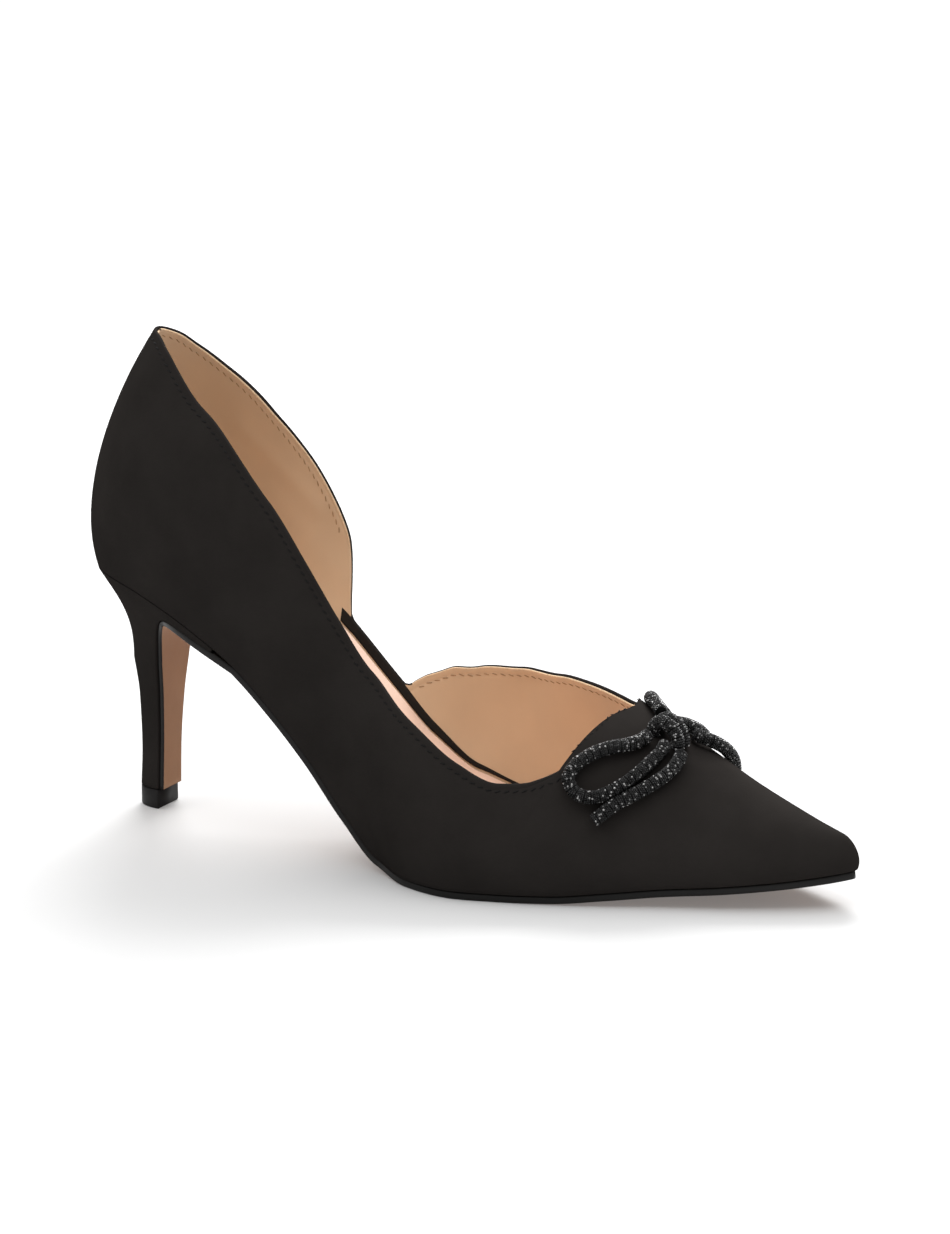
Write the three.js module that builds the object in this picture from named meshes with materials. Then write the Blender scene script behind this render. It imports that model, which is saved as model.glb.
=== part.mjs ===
// A womens pointed pump for the right foot, open at the arch on the inner side, with a slim covered heel
// and a bow of beaded cord. Millimetres: +X to the toe, +Y to the inner (medial) side, +Z up.
import * as THREE from "three";
import { mergeVertices } from "three/addons/utils/BufferGeometryUtils.js";

// Driving dimensions of the last
const SOLE_LENGTH = 229.8; // back of the seat to the toe tip, along the floor
const BALL_WIDTH = 77; // widest part of the sole
const SEAT_HEIGHT = 69.1; // the seat's back edge above the ball
const SEAT_OVERHANG = 14.3; // the seat's back edge behind the heel tip's centre
const TOE_SPRING = 8.0; // the toe tip's lift above the ball
const ARCH_LIFT = 8; // the inner side of the waist above the outer side
const TIP_SHIFT = 4.6; // the toe tip's offset to the inner side
const CREST_HEIGHT = 109; // scale of the last's height above the sole
const COLLAR_HEIGHT = 68; // centre back of the topline above the seat
const BELLY = 12; // scale of the wall's bulge past the sole's edge

// Thicknesses and clearances
const WALL = 1.8;
const INSOLE = 3.2;
const OUTSOLE = 2.2;
const FLAP = 1.2; // the outsole where it runs down the heel's front
const GAP = 0.3; // between touching pieces
const EDGE_INSET = 0.7; // the outsole's edge inside the upper's
const FLAP_INSET = 0.28; // the flap's edge inside the heel's, at the floor
const FLAP_BEND = 0.03; // from the breast to the sole's first whole section, share of the sole length

// The heel
const TIP_HALF = 5.4;
const TIP_FRONT = 4.0;
const TIP_BACK = 4.1;
const TOP_LIFT = 5.7;
const SHAFT_HEIGHT = 44; // floor to where the shaft starts to flare
const PLATE = 0.9; // thickness of the heel seat's front edge
const BREAST_AT = 0.212; // front edge of the heel seat, share of the sole length

// The bow
const CORD = 3.5; // diameter of the beaded cord
const CORD_LIFT = 0.3; // clearance between the cord and the upper
const KNOT_AT = 0.768; // middle of the knot, share of the sole length
const KNOT_SIDE = -0.8; // middle of the knot, off the shoe's centre line
const KNOT_LENGTH = 11.6;
const KNOT_WIDTH = 7.4;
const KNOT_HEIGHT = 5.6;
const KNOT_RIM = 0.8; // height of the knot's lowest edge
const KNOT_ROUND = 0.96; // how far its arch comes down at the ends, share of a half round
const KNOT_TAPER = 0.72; // width at its ends, share of the knot's
const KNOT_GROOVE = 0.72; // height between its two turns, share of the turns'
const KNOT_SIDES = 0.25; // height at its sides, share of the turns'
const KNOT_BEVEL = 1 / 3; // width of its sloped sides, share of its half-width

// Mesh steps
const ROW_STEPS = 3;
const WALL_ROWS = 8;
const THROAT_BLEND = 0.08; // share of the sole length
const ACROSS = 4;
const HEEL_COLUMNS = 20;
const SHAFT_ROWS = 4;
const FLARE_ROWS = 9;
const CORD_SIDES = 4; // for each half of its round
const LOOP_STEPS = 30;
const TAIL_STEPS = 12;
const KNOT_RINGS = 12;
const KNOT_COLUMNS = 12;
const STATION_SPACING = 0.002; // least distance between two sections, share of the sole length
const WELD = 1e-4;
const NARROWING_UP = 0.3; // share of a section above its widest part
const OUTER = -1;
const INNER = 1;

// The sole's outline. at: share of the sole length. outer, inner: half-widths, shares of half the ball width.
const OUTLINE = [
  { at: 0.0, outer: 0.0, inner: 0.0 },
  { at: 0.011, outer: 0.25, inner: 0.25 },
  { at: 0.041, outer: 0.436, inner: 0.436 },
  { at: 0.084, outer: 0.566, inner: 0.561 },
  { at: 0.136, outer: 0.632, inner: 0.608 },
  { at: 0.188, outer: 0.645, inner: 0.6 },
  { at: 0.24, outer: 0.645, inner: 0.575 },
  { at: 0.292, outer: 0.635, inner: 0.57 },
  { at: 0.344, outer: 0.64, inner: 0.585 },
  { at: 0.396, outer: 0.672, inner: 0.66 },
  { at: 0.448, outer: 0.775, inner: 0.79 },
  { at: 0.5, outer: 0.955, inner: 0.915 },
  { at: 0.56, outer: 1.04, inner: 0.975 },
  { at: 0.62, outer: 0.965, inner: 0.99 },
  { at: 0.68, outer: 0.85, inner: 0.93 },
  { at: 0.742, outer: 0.705, inner: 0.83 },
  { at: 0.803, outer: 0.55, inner: 0.72 },
  { at: 0.864, outer: 0.405, inner: 0.58 },
  { at: 0.92, outer: 0.24, inner: 0.43 },
  { at: 0.963, outer: 0.092, inner: 0.3 },
  { at: 0.989, outer: -0.025, inner: 0.2 },
  { at: 1.0, outer: -0.1195, inner: 0.1195 },
];

// The sole's side profile. rise: share of the seat height. spring: share of the toe spring. arch: share of
// the arch lift.
const PROFILE = [
  { at: 0.0, rise: 1.0, spring: 0, arch: 0 },
  { at: 0.041, rise: 0.993, spring: 0, arch: 0 },
  { at: 0.084, rise: 0.972, spring: 0, arch: 0.03 },
  { at: 0.136, rise: 0.913, spring: 0, arch: 0.15 },
  { at: 0.188, rise: 0.822, spring: 0, arch: 0.4 },
  { at: 0.24, rise: 0.708, spring: 0, arch: 0.8 },
  { at: 0.292, rise: 0.546, spring: 0, arch: 1.0 },
  { at: 0.344, rise: 0.363, spring: 0, arch: 1.0 },
  { at: 0.396, rise: 0.162, spring: 0, arch: 1.0 },
  { at: 0.448, rise: 0.028, spring: 0, arch: 0.85 },
  { at: 0.5, rise: 0, spring: 0, arch: 0.42 },
  { at: 0.56, rise: 0, spring: 0, arch: 0 },
  { at: 0.62, rise: 0, spring: 0, arch: 0 },
  { at: 0.68, rise: 0, spring: 0.03, arch: 0 },
  { at: 0.742, rise: 0, spring: 0.2, arch: 0 },
  { at: 0.803, rise: 0, spring: 0.39, arch: 0 },
  { at: 0.864, rise: 0, spring: 0.52, arch: 0 },
  { at: 0.92, rise: 0, spring: 0.68, arch: 0 },
  { at: 1.0, rise: 0, spring: 1, arch: 0 },
];

// The last's sections. ahead: the crest's distance past the sole's edge, share of the sole length. side: the
// crest's offset, share of the tip shift. height: share of the crest height. belly and rise: the lower
// handle's reach and height, shares of the bulge and of the section. shoulder and drop: the upper handle's
// reach and depth, shares of the section's half-width and height.
const SECTIONS = [
  { at: 0.0, ahead: 0.111, side: 0, height: 0.727, belly: 0.5, rise: 0.24, shoulder: 0.84, drop: 0.35 },
  { at: 0.084, ahead: 0.064, side: 0, height: 0.735, belly: 0.5, rise: 0.25, shoulder: 0.98, drop: 0.3 },
  { at: 0.188, ahead: 0.009, side: 0, height: 0.742, belly: 0.68, rise: 0.26, shoulder: 1.12, drop: 0.23 },
  { at: 0.292, ahead: 0.0, side: 0.1, height: 0.9, belly: 0.92, rise: 0.27, shoulder: 1.27, drop: 0.15 },
  { at: 0.396, ahead: 0.0, side: 0.3, height: 0.833, belly: 0.78, rise: 0.28, shoulder: 1.25, drop: 0.08 },
  { at: 0.5, ahead: 0.0, side: 0.6, height: 0.704, belly: 0.52, rise: 0.3, shoulder: 1.06, drop: 0.03 },
  { at: 0.56, ahead: 0.0, side: 0.74, height: 0.582, belly: 0.42, rise: 0.31, shoulder: 0.86, drop: 0.01 },
  { at: 0.62, ahead: 0.0, side: 0.86, height: 0.513, belly: 0.4, rise: 0.32, shoulder: 0.74, drop: 0 },
  { at: 0.68, ahead: 0.0, side: 0.94, height: 0.443, belly: 0.37, rise: 0.33, shoulder: 0.69, drop: 0 },
  { at: 0.742, ahead: 0.0, side: 0.98, height: 0.369, belly: 0.33, rise: 0.34, shoulder: 0.62, drop: 0 },
  { at: 0.803, ahead: 0.0, side: 1, height: 0.29, belly: 0.29, rise: 0.35, shoulder: 0.58, drop: 0 },
  { at: 0.864, ahead: -0.001, side: 1, height: 0.217, belly: 0.25, rise: 0.36, shoulder: 0.55, drop: 0 },
  { at: 0.92, ahead: -0.005, side: 1, height: 0.159, belly: 0.21, rise: 0.36, shoulder: 0.55, drop: 0 },
  { at: 0.963, ahead: -0.012, side: 1, height: 0.117, belly: 0.17, rise: 0.36, shoulder: 0.57, drop: 0 },
  { at: 1.0, ahead: -0.02, side: 1, height: 0.086, belly: 0.14, rise: 0.35, shoulder: 0.6, drop: 0 },
];

// The topline on each side. top: height above the sole's edge, share of the collar height. It ends at the
// throat, where both sides meet on the crest.
const THROAT_AT = 0.716;
const OUTER_TOPLINE = [
  { at: 0.0, top: 1.0 },
  { at: 0.04, top: 0.989 },
  { at: 0.087, top: 0.961 },
  { at: 0.121, top: 0.941 },
  { at: 0.181, top: 0.907 },
  { at: 0.237, top: 0.901 },
  { at: 0.297, top: 0.895 },
  { at: 0.354, top: 0.85 },
  { at: 0.401, top: 0.822 },
  { at: 0.453, top: 0.771 },
  { at: 0.512, top: 0.648 },
  { at: 0.567, top: 0.51 },
  { at: 0.615, top: 0.438 },
  { at: 0.64, top: 0.44 },
  { at: 0.658, top: 0.457 },
  { at: 0.675, top: 0.485 },
  { at: 0.693, top: 0.538 },
  { at: 0.705, top: 0.588 },
  { at: 0.712, top: 0.628 },
  { at: THROAT_AT, top: 0.65 },
];
const INNER_TOPLINE = [
  { at: 0.0, top: 1.0 },
  { at: 0.04, top: 0.971 },
  { at: 0.073, top: 0.928 },
  { at: 0.109, top: 0.885 },
  { at: 0.145, top: 0.846 },
  { at: 0.171, top: 0.804 },
  { at: 0.198, top: 0.729 },
  { at: 0.22, top: 0.65 },
  { at: 0.24, top: 0.578 },
  { at: 0.256, top: 0.515 },
  { at: 0.271, top: 0.449 },
  { at: 0.279, top: 0.395 },
  { at: 0.2815, top: 0.335 },
  { at: 0.2825, top: 0.255 },
  { at: 0.2835, top: 0.17 },
  { at: 0.286, top: 0.105 },
  { at: 0.291, top: 0.09 },
  { at: 0.335, top: 0.093 },
  { at: 0.358, top: 0.097 },
  { at: 0.365, top: 0.119 },
  { at: 0.372, top: 0.163 },
  { at: 0.386, top: 0.244 },
  { at: 0.402, top: 0.316 },
  { at: 0.424, top: 0.414 },
  { at: 0.471, top: 0.525 },
  { at: 0.518, top: 0.592 },
  { at: 0.574, top: 0.635 },
  { at: 0.604, top: 0.628 },
  { at: 0.632, top: 0.617 },
  { at: 0.656, top: 0.602 },
  { at: 0.675, top: 0.591 },
  { at: 0.693, top: 0.602 },
  { at: 0.705, top: 0.622 },
  { at: 0.712, top: 0.64 },
  { at: THROAT_AT, top: 0.65 },
];

// The heel's shaft above the top lift. up: share of the shaft height. front, back, half: shares of the tip's.
const SHAFT = [
  { up: 0.136, front: 1.02, back: 1.01, half: 1.0 },
  { up: 0.4, front: 1.11, back: 0.88, half: 1.0 },
  { up: 0.75, front: 1.3, back: 0.97, half: 1.18 },
  { up: 1.0, front: 1.48, back: 1.32, half: 1.5 },
];

// The handles of the curves from the shaft up to the seat, at the heel's back and at its front corners.
// ahead, inward, rise: the lower handle, in millimetres from the shaft. reach, narrow: the upper handle's
// place between seat and shaft, along and across. lift: its height above the seat, in millimetres.
const FLARE = {
  back: { ahead: 0, inward: 0, rise: 12, reach: 0.45, narrow: 0.45, lift: -9 },
  corner: { ahead: 1.2, inward: 2.2, rise: 19, reach: 0.72, narrow: 0.2, lift: 7 },
};

const LAST_ROW = OUTLINE.length - 1;

function vec(x, y, z) {
  return new THREE.Vector3(x, y, z);
}

function mix(a, b, share) {
  return a + (b - a) * share;
}

// Uniform Catmull-Rom through four neighbouring values
function spline(before, start, end, after, share) {
  const bend = 2 * before - 5 * start + 4 * end - after;
  const twist = 3 * (start - end) + after - before;
  return start + 0.5 * share * (end - before + share * (bend + share * twist));
}

// The sole's edge is a closed loop, so a neighbour past either tip lies on the other side
function outlineAt(row, name) {
  const start = Math.min(Math.floor(row), LAST_ROW - 1);
  const opposite = { at: "at", outer: "inner", inner: "outer" }[name];
  const sign = name === "at" ? 1 : -1;
  const value = (i) => {
    if (i < 0) return sign * OUTLINE[-i][opposite];
    if (i > LAST_ROW) return sign * OUTLINE[2 * LAST_ROW - i][opposite];
    return OUTLINE[i][name];
  };
  return spline(value(start - 1), value(start), value(start + 1), value(start + 2), row - start);
}

function rowAt(at) {
  let low = 0;
  let high = LAST_ROW;
  while (high - low > 1e-9) {
    const middle = (low + high) / 2;
    if (outlineAt(middle, "at") < at) low = middle;
    else high = middle;
  }
  return (low + high) / 2;
}

// Smooth interpolation in a table, without overshoot
function lookUp(table, key, name, x) {
  const last = table.length - 1;
  let i = 0;
  while (i < last - 1 && table[i + 1][key] < x) i += 1;
  const slope = (k) => (table[k + 1][name] - table[k][name]) / (table[k + 1][key] - table[k][key]);
  const tangent = (k) => {
    if (k === 0) return slope(0);
    if (k === last) return slope(last - 1);
    const before = slope(k - 1);
    const after = slope(k);
    return before * after <= 0 ? 0 : (2 * before * after) / (before + after);
  };
  const span = table[i + 1][key] - table[i][key];
  const f = THREE.MathUtils.clamp((x - table[i][key]) / span, 0, 1);
  const rise = (3 - 2 * f) * f * f;
  const ease = span * f * (1 - f) * ((1 - f) * tangent(i) - f * tangent(i + 1));
  return mix(table[i][name], table[i + 1][name], rise) + ease;
}

// Height of the upper's lower edge on the outer side
function soleHeight(at) {
  const rise = SEAT_HEIGHT * lookUp(PROFILE, "at", "rise", at);
  const spring = TOE_SPRING * lookUp(PROFILE, "at", "spring", at);
  return OUTSOLE + GAP + rise + spring;
}

// The sole's edge, where the upper ends
function edge(row, side) {
  const at = outlineAt(row, "at");
  const half = outlineAt(row, side === OUTER ? "outer" : "inner");
  const arch = side === INNER ? ARCH_LIFT * lookUp(PROFILE, "at", "arch", at) : 0;
  return vec(at * SOLE_LENGTH - SEAT_OVERHANG, (side * half * BALL_WIDTH) / 2, soleHeight(at) + arch);
}

// Level direction out of the sole's edge
function outward(row, side) {
  const step = 0.02;
  if (row < step) return vec(-1, 0, 0);
  if (row > LAST_ROW - step) return vec(1, 0, 0);
  const along = edge(row + step, side).sub(edge(row - step, side));
  return vec(-side * along.y, side * along.x, 0).normalize();
}

// A point on the last's skin. up: 0 at the sole's edge, 1 on the crest.
function skin(row, side, up) {
  const at = outlineAt(row, "at");
  const section = (name) => lookUp(SECTIONS, "at", name, at);
  const low = edge(row, side);
  const high = vec(
    low.x + section("ahead") * SOLE_LENGTH,
    TIP_SHIFT * section("side"),
    soleHeight(at) + CREST_HEIGHT * section("height"),
  );
  const height = high.z - low.z;
  const bulge = low.clone().addScaledVector(outward(row, side), BELLY * section("belly"));
  bulge.z += height * section("rise");
  const shoulder = vec(
    mix(high.x, low.x, section("shoulder")),
    mix(high.y, low.y, section("shoulder")),
    high.z - height * section("drop"),
  );
  return new THREE.CubicBezierCurve3(low, bulge, shoulder, high).getPoint(up);
}

// Share of the section's curve at a height above the sole's edge
function shareAtHeight(row, side, height) {
  const target = edge(row, side).z + height;
  let low = 0;
  let high = 1;
  while (high - low > 1e-7) {
    const middle = (low + high) / 2;
    if (skin(row, side, middle).z < target) low = middle;
    else high = middle;
  }
  return (low + high) / 2;
}

function skinNormal(row, side, up) {
  const step = 0.01;
  const along = skin(Math.min(row + step, LAST_ROW), side, up).sub(skin(Math.max(row - step, 0), side, up));
  const climb = skin(row, side, Math.min(up + step, 1)).sub(skin(row, side, Math.max(up - step, 0)));
  if (up === 1) return vec(-along.z, 0, along.x).normalize();
  if (row < step) along.set(0, side, 0);
  if (row > LAST_ROW - step) along.set(0, -side, 0);
  return side === OUTER ? along.cross(climb).normalize() : climb.cross(along).normalize();
}

// Stations along one side: an even spread of rows and each row of the topline's table
function stations(table) {
  const fixed = table.map((entry) => rowAt(entry.at));
  const spread = Array.from({ length: LAST_ROW * ROW_STEPS + 1 }, (_, i) => i / ROW_STEPS);
  const distance = (a, b) => Math.abs(outlineAt(a, "at") - outlineAt(b, "at"));
  const clear = (row) => fixed.every((other) => distance(other, row) > STATION_SPACING);
  const free = spread.filter((row) => row < 1 || clear(row));
  return [...new Set([...fixed, ...free, LAST_ROW])].sort((a, b) => a - b);
}

// Triangles between rings of equal length; each ring runs round one closed section
function ringSolid(rings, caps) {
  const positions = [];
  const push = (...points) => points.forEach((p) => positions.push(p.x, p.y, p.z));
  for (let i = 0; i + 1 < rings.length; i += 1) {
    const count = rings[i].length;
    for (let j = 0; j < count; j += 1) {
      const k = (j + 1) % count;
      push(rings[i][j], rings[i + 1][j], rings[i + 1][k]);
      push(rings[i][j], rings[i + 1][k], rings[i][k]);
    }
  }
  if (caps) {
    const fold = (ring, flip) => {
      for (let j = 0, k = ring.length - 1; j + 1 <= k; j += 1, k -= 1) {
        const quad = [ring[j], ring[j + 1], ring[k - 1], ring[k]];
        if (flip) quad.reverse();
        push(quad[0], quad[1], quad[2]);
        push(quad[0], quad[2], quad[3]);
      }
    };
    fold(rings[0], false);
    fold(rings[rings.length - 1], true);
  }
  return closedGeometry(positions);
}

// Welds the corners, drops the flat triangles and turns the faces outward
function closedGeometry(positions) {
  const soup = new THREE.BufferGeometry();
  soup.setAttribute("position", new THREE.Float32BufferAttribute(positions, 3));
  const welded = mergeVertices(soup, WELD);
  const corner = welded.getAttribute("position");
  const point = (i) => vec(corner.getX(i), corner.getY(i), corner.getZ(i));
  const kept = [];
  let volume = 0;
  const index = welded.getIndex().array;
  for (let i = 0; i < index.length; i += 3) {
    const [a, b, c] = [index[i], index[i + 1], index[i + 2]];
    if (a === b || b === c || c === a) continue;
    kept.push(a, b, c);
    volume += point(a).dot(point(b).cross(point(c)));
  }
  if (volume < 0) kept.reverse();
  welded.setIndex(kept);
  welded.computeVertexNormals();
  return welded;
}

// Stations along one side, with the share of the section where the upper's top and its last row but one lie
function upperStations(side, table) {
  let reach = 1;
  return stations(table).map((row) => {
    const at = outlineAt(row, "at");
    const open = at < THROAT_AT - 1e-6;
    if (open) reach = shareAtHeight(row, side, COLLAR_HEIGHT * lookUp(table, "at", "top", at));
    const settled = THREE.MathUtils.smoothstep(at, THROAT_AT, THROAT_AT + THROAT_BLEND);
    return { row, side, open, top: open ? reach : 1, reach: open ? reach : mix(reach, 1, settled) };
  });
}

function upperGeometry() {
  const outer = upperStations(OUTER, OUTER_TOPLINE);
  const inner = upperStations(INNER, INNER_TOPLINE).slice(1, -1).reverse();
  const loop = [...outer, ...inner, outer[0]];
  const sections = loop.map(({ row, side, open, top, reach }) => {
    const outside = [];
    const inside = [];
    for (let j = 0; j <= WALL_ROWS; j += 1) {
      const up = j < WALL_ROWS ? (reach * j) / WALL_ROWS : top;
      const point = skin(row, side, up);
      const normal = j === 0 ? outward(row, side) : skinNormal(row, side, up);
      outside.push(point);
      inside.push(point.clone().addScaledVector(normal, -WALL));
    }
    return { outside, inside, open };
  });
  const positions = [];
  const strip = (a, b, c, d) => [a, b, c, a, c, d].forEach((p) => positions.push(p.x, p.y, p.z));
  for (let i = 0; i + 1 < sections.length; i += 1) {
    const [here, next] = [sections[i], sections[i + 1]];
    for (let j = 0; j < WALL_ROWS; j += 1) {
      strip(here.outside[j], next.outside[j], next.outside[j + 1], here.outside[j + 1]);
      strip(here.inside[j + 1], next.inside[j + 1], next.inside[j], here.inside[j]);
    }
    strip(here.inside[0], next.inside[0], next.outside[0], here.outside[0]);
    if (here.open || next.open) {
      const top = WALL_ROWS;
      strip(here.outside[top], next.outside[top], next.inside[top], here.inside[top]);
    }
  }
  return closedGeometry(positions);
}

// Square to the sole, pointing up
function soleNormal(row) {
  const at = outlineAt(row, "at");
  const step = 0.002;
  const slope = (soleHeight(at + step) - soleHeight(at - step)) / (2 * step * SOLE_LENGTH);
  return vec(-slope, 0, 1).normalize();
}

// Points across a piece, from one side to the other
function across(from, to) {
  return Array.from({ length: ACROSS + 1 }, (_, i) => from.clone().lerp(to, i / ACROSS));
}

function band(low, high) {
  return [...across(...low), ...across(...high).reverse()];
}

// A cross-section of a layer of the sole
function slab(row, inset, low, high) {
  const line = (lift) => [OUTER, INNER].map((side) => {
    const point = edge(row, side).addScaledVector(outward(row, side), -inset);
    return point.addScaledVector(soleNormal(row), lift);
  });
  return band(line(low), line(high));
}

function insoleGeometry() {
  const rows = stations(OUTER_TOPLINE);
  return ringSolid(rows.map((row) => slab(row, WALL + GAP, 0, INSOLE)), false);
}

// A point of the heel's shaft. turn: 0 at the outer front corner, half way at the back, 1 at the inner one.
function shaftPoint(turn, height) {
  const up = height / SHAFT_HEIGHT;
  const size = (name) => lookUp(SHAFT, "up", name, up);
  const front = TIP_FRONT * size("front");
  const back = -TIP_BACK * size("back");
  const angle = Math.PI * turn;
  return vec(mix(front, back, Math.sin(angle)), -TIP_HALF * size("half") * Math.cos(angle), height);
}

// A curve up the heel's side, from the top of the shaft to the seat
function flare(turn) {
  const lean = Math.cos(Math.PI * turn);
  const corner = lean * lean;
  const side = turn < 0.5 ? OUTER : INNER;
  const row = rowAt(BREAST_AT) * Math.abs(lean);
  const seat = edge(row, side).addScaledVector(soleNormal(row), -GAP);
  const atCorner = Math.abs(lean) > 1 - 1e-9;
  if (atCorner) seat.addScaledVector(soleNormal(row), -PLATE);
  const foot = shaftPoint(turn, SHAFT_HEIGHT);
  const handle = (name) => mix(FLARE.back[name], FLARE.corner[name], corner);
  const leave = vec(handle("ahead"), -handle("inward") * lean, handle("rise")).add(foot);
  const arrive = vec(
    mix(seat.x, foot.x, handle("reach")),
    mix(seat.y, foot.y, handle("narrow")),
    seat.z + handle("lift"),
  );
  return new THREE.CubicBezierCurve3(foot, leave, arrive, seat);
}

function heelCurve(turn) {
  const low = TOP_LIFT + GAP;
  const points = [];
  for (let i = 0; i < SHAFT_ROWS; i += 1) {
    points.push(shaftPoint(turn, mix(low, SHAFT_HEIGHT, i / SHAFT_ROWS)));
  }
  points.push(...flare(turn).getPoints(FLARE_ROWS));
  return points;
}

function heelGeometry() {
  const turns = Array.from({ length: HEEL_COLUMNS + 1 }, (_, i) => i / HEEL_COLUMNS);
  const curves = turns.map(heelCurve);
  const rings = curves[0].map((_, level) => curves.map((curve) => curve[level]));
  const seatEdge = [OUTER, INNER].map((side) => {
    const row = rowAt(BREAST_AT);
    return edge(row, side).addScaledVector(soleNormal(row), -GAP);
  });
  const top = [...rings[rings.length - 1]];
  top[0] = seatEdge[0];
  top[top.length - 1] = seatEdge[1];
  rings.push(top);
  return ringSolid(rings, true);
}

function topLiftGeometry() {
  const turns = Array.from({ length: HEEL_COLUMNS + 1 }, (_, i) => i / HEEL_COLUMNS);
  const low = TOP_LIFT + GAP;
  const ring = (height) => turns.map((turn) => shaftPoint(turn, low).setZ(height));
  return ringSolid([ring(0), ring(TOP_LIFT)], true);
}

// The outsole runs down the heel's front as a flap and forward to the toe
function outsoleGeometry() {
  const [outerFront, innerFront] = [heelCurve(0), heelCurve(1)];
  const rings = [];
  for (let i = 0; i < outerFront.length; i += 1) {
    const before = outerFront[Math.max(i - 1, 0)];
    const after = outerFront[Math.min(i + 1, outerFront.length - 1)];
    const away = vec(after.z - before.z, 0, before.x - after.x).normalize();
    const share = i / (outerFront.length - 1);
    const thickness = mix(FLAP, OUTSOLE, share ** 3);
    const line = (lift) => [outerFront[i], innerFront[i]].map((p) => {
      const point = p.clone().addScaledVector(away, lift);
      point.y -= Math.sign(point.y) * mix(FLAP_INSET, EDGE_INSET, share);
      return point;
    });
    rings.push(band(line(GAP + thickness), line(GAP)));
  }
  const start = rowAt(BREAST_AT + FLAP_BEND);
  const rows = stations(OUTER_TOPLINE).filter((row) => row > start);
  rings.push(...rows.map((row) => slab(row, EDGE_INSET, -GAP - OUTSOLE, -GAP)));
  return ringSolid(rings, true);
}

// The bow's cords, laid on the upper. at and up: place on the skin. lift: extra height, share of the cord.
const OUTER_LOOP = [
  { at: 0.7485, up: 0.82, lift: 0.05 },
  { at: 0.744, up: 0.77, lift: 0 },
  { at: 0.734, up: 0.725, lift: 0 },
  { at: 0.718, up: 0.681, lift: 0 },
  { at: 0.702, up: 0.627, lift: 0 },
  { at: 0.69, up: 0.57, lift: 0 },
  { at: 0.686, up: 0.51, lift: 0 },
  { at: 0.697, up: 0.465, lift: 0 },
  { at: 0.716, up: 0.462, lift: 0 },
  { at: 0.738, up: 0.52, lift: 0 },
  { at: 0.753, up: 0.6, lift: 0 },
  { at: 0.763, up: 0.69, lift: 0 },
  { at: 0.768, up: 0.76, lift: 0 },
  { at: 0.769, up: 0.82, lift: 0.05 },
];
const OUTER_TAIL = [
  { at: 0.7885, up: 0.815, lift: 0.05 },
  { at: 0.789, up: 0.76, lift: 0 },
  { at: 0.785, up: 0.68, lift: 0 },
  { at: 0.771, up: 0.58, lift: 0 },
  { at: 0.756, up: 0.51, lift: 0 },
  { at: 0.74, up: 0.45, lift: 0 },
  { at: 0.722, up: 0.37, lift: 0 },
];
const INNER_LOOP = [
  { at: 0.742, up: 0.985, lift: 0.05 },
  { at: 0.733, up: 0.95, lift: 0.05 },
  { at: 0.72, up: 0.9, lift: 0 },
  { at: 0.709, up: 0.825, lift: 0 },
  { at: 0.704, up: 0.74, lift: 0 },
  { at: 0.708, up: 0.65, lift: 0 },
  { at: 0.72, up: 0.575, lift: 0 },
  { at: 0.738, up: 0.535, lift: 0 },
  { at: 0.756, up: 0.55, lift: 0 },
  { at: 0.768, up: 0.62, lift: 0 },
  { at: 0.773, up: 0.72, lift: 0 },
  { at: 0.773, up: 0.825, lift: 0 },
  { at: 0.769, up: 0.925, lift: 0.05 },
  { at: 0.7625, up: 0.985, lift: 0.05 },
];
const INNER_TAIL = [
  { at: 0.7835, up: 0.985, lift: 0.05 },
  { at: 0.791, up: 0.972, lift: 0.1 },
  { at: 0.799, up: 0.94, lift: 0.15 },
  { at: 0.805, up: 0.88, lift: 0.1 },
  { at: 0.808, up: 0.8, lift: 0.05 },
  { at: 0.809, up: 0.7, lift: 0 },
  { at: 0.806, up: 0.6, lift: 0 },
  { at: 0.8, up: 0.49, lift: 0 },
];

// A round cord along a table of places on the skin
function cordGeometry(table, side, steps) {
  const path = new THREE.CatmullRomCurve3(table.map(({ at, up, lift }) => {
    const row = rowAt(at);
    const height = CORD / 2 + CORD_LIFT + lift * CORD;
    return skin(row, side, up).addScaledVector(skinNormal(row, side, up), height);
  }), false, "centripetal");
  const section = new THREE.Shape();
  section.absarc(0, 0, CORD / 2, 0, 2 * Math.PI);
  const cord = new THREE.ExtrudeGeometry(section, { extrudePath: path, steps, curveSegments: CORD_SIDES });
  cord.deleteAttribute("normal");
  cord.deleteAttribute("uv");
  return closedGeometry(cord.getAttribute("position").array);
}

// Two turns of the cord, side by side over the middle of the bow. Both ends rest on the vamp.
function knotGeometry() {
  const rings = [];
  for (let i = 0; i <= KNOT_RINGS; i += 1) {
    const along = (2 * i) / KNOT_RINGS - 1;
    const arch = Math.sqrt(1 - KNOT_ROUND * along * along);
    const at = KNOT_AT + (along * KNOT_LENGTH) / 2 / SOLE_LENGTH;
    const row = rowAt(at);
    const middle = skin(row, OUTER, 1);
    const half = (KNOT_WIDTH / 2) * mix(KNOT_TAPER, 1, arch);
    const top = [];
    const foot = [];
    for (let j = 0; j <= KNOT_COLUMNS; j += 1) {
      const over = (2 * j) / KNOT_COLUMNS - 1;
      const y = KNOT_SIDE + half * over;
      const under = skinAcross(row, y);
      const lobe = Math.sqrt(Math.max(1 - (2 * Math.abs(over) - 1) ** 2, 0));
      const inside = Math.min(1, (1 - Math.abs(over)) / KNOT_BEVEL);
      const crown = mix(KNOT_SIDES, mix(KNOT_GROOVE, 1, lobe), inside);
      const thickness = KNOT_RIM + (KNOT_HEIGHT - KNOT_RIM) * arch * crown;
      foot.push(vec(middle.x, y, under + CORD_LIFT));
      top.push(vec(middle.x, y, under + CORD_LIFT + thickness));
    }
    rings.push([...foot, ...top.reverse()]);
  }
  return ringSolid(rings, true);
}

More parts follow.
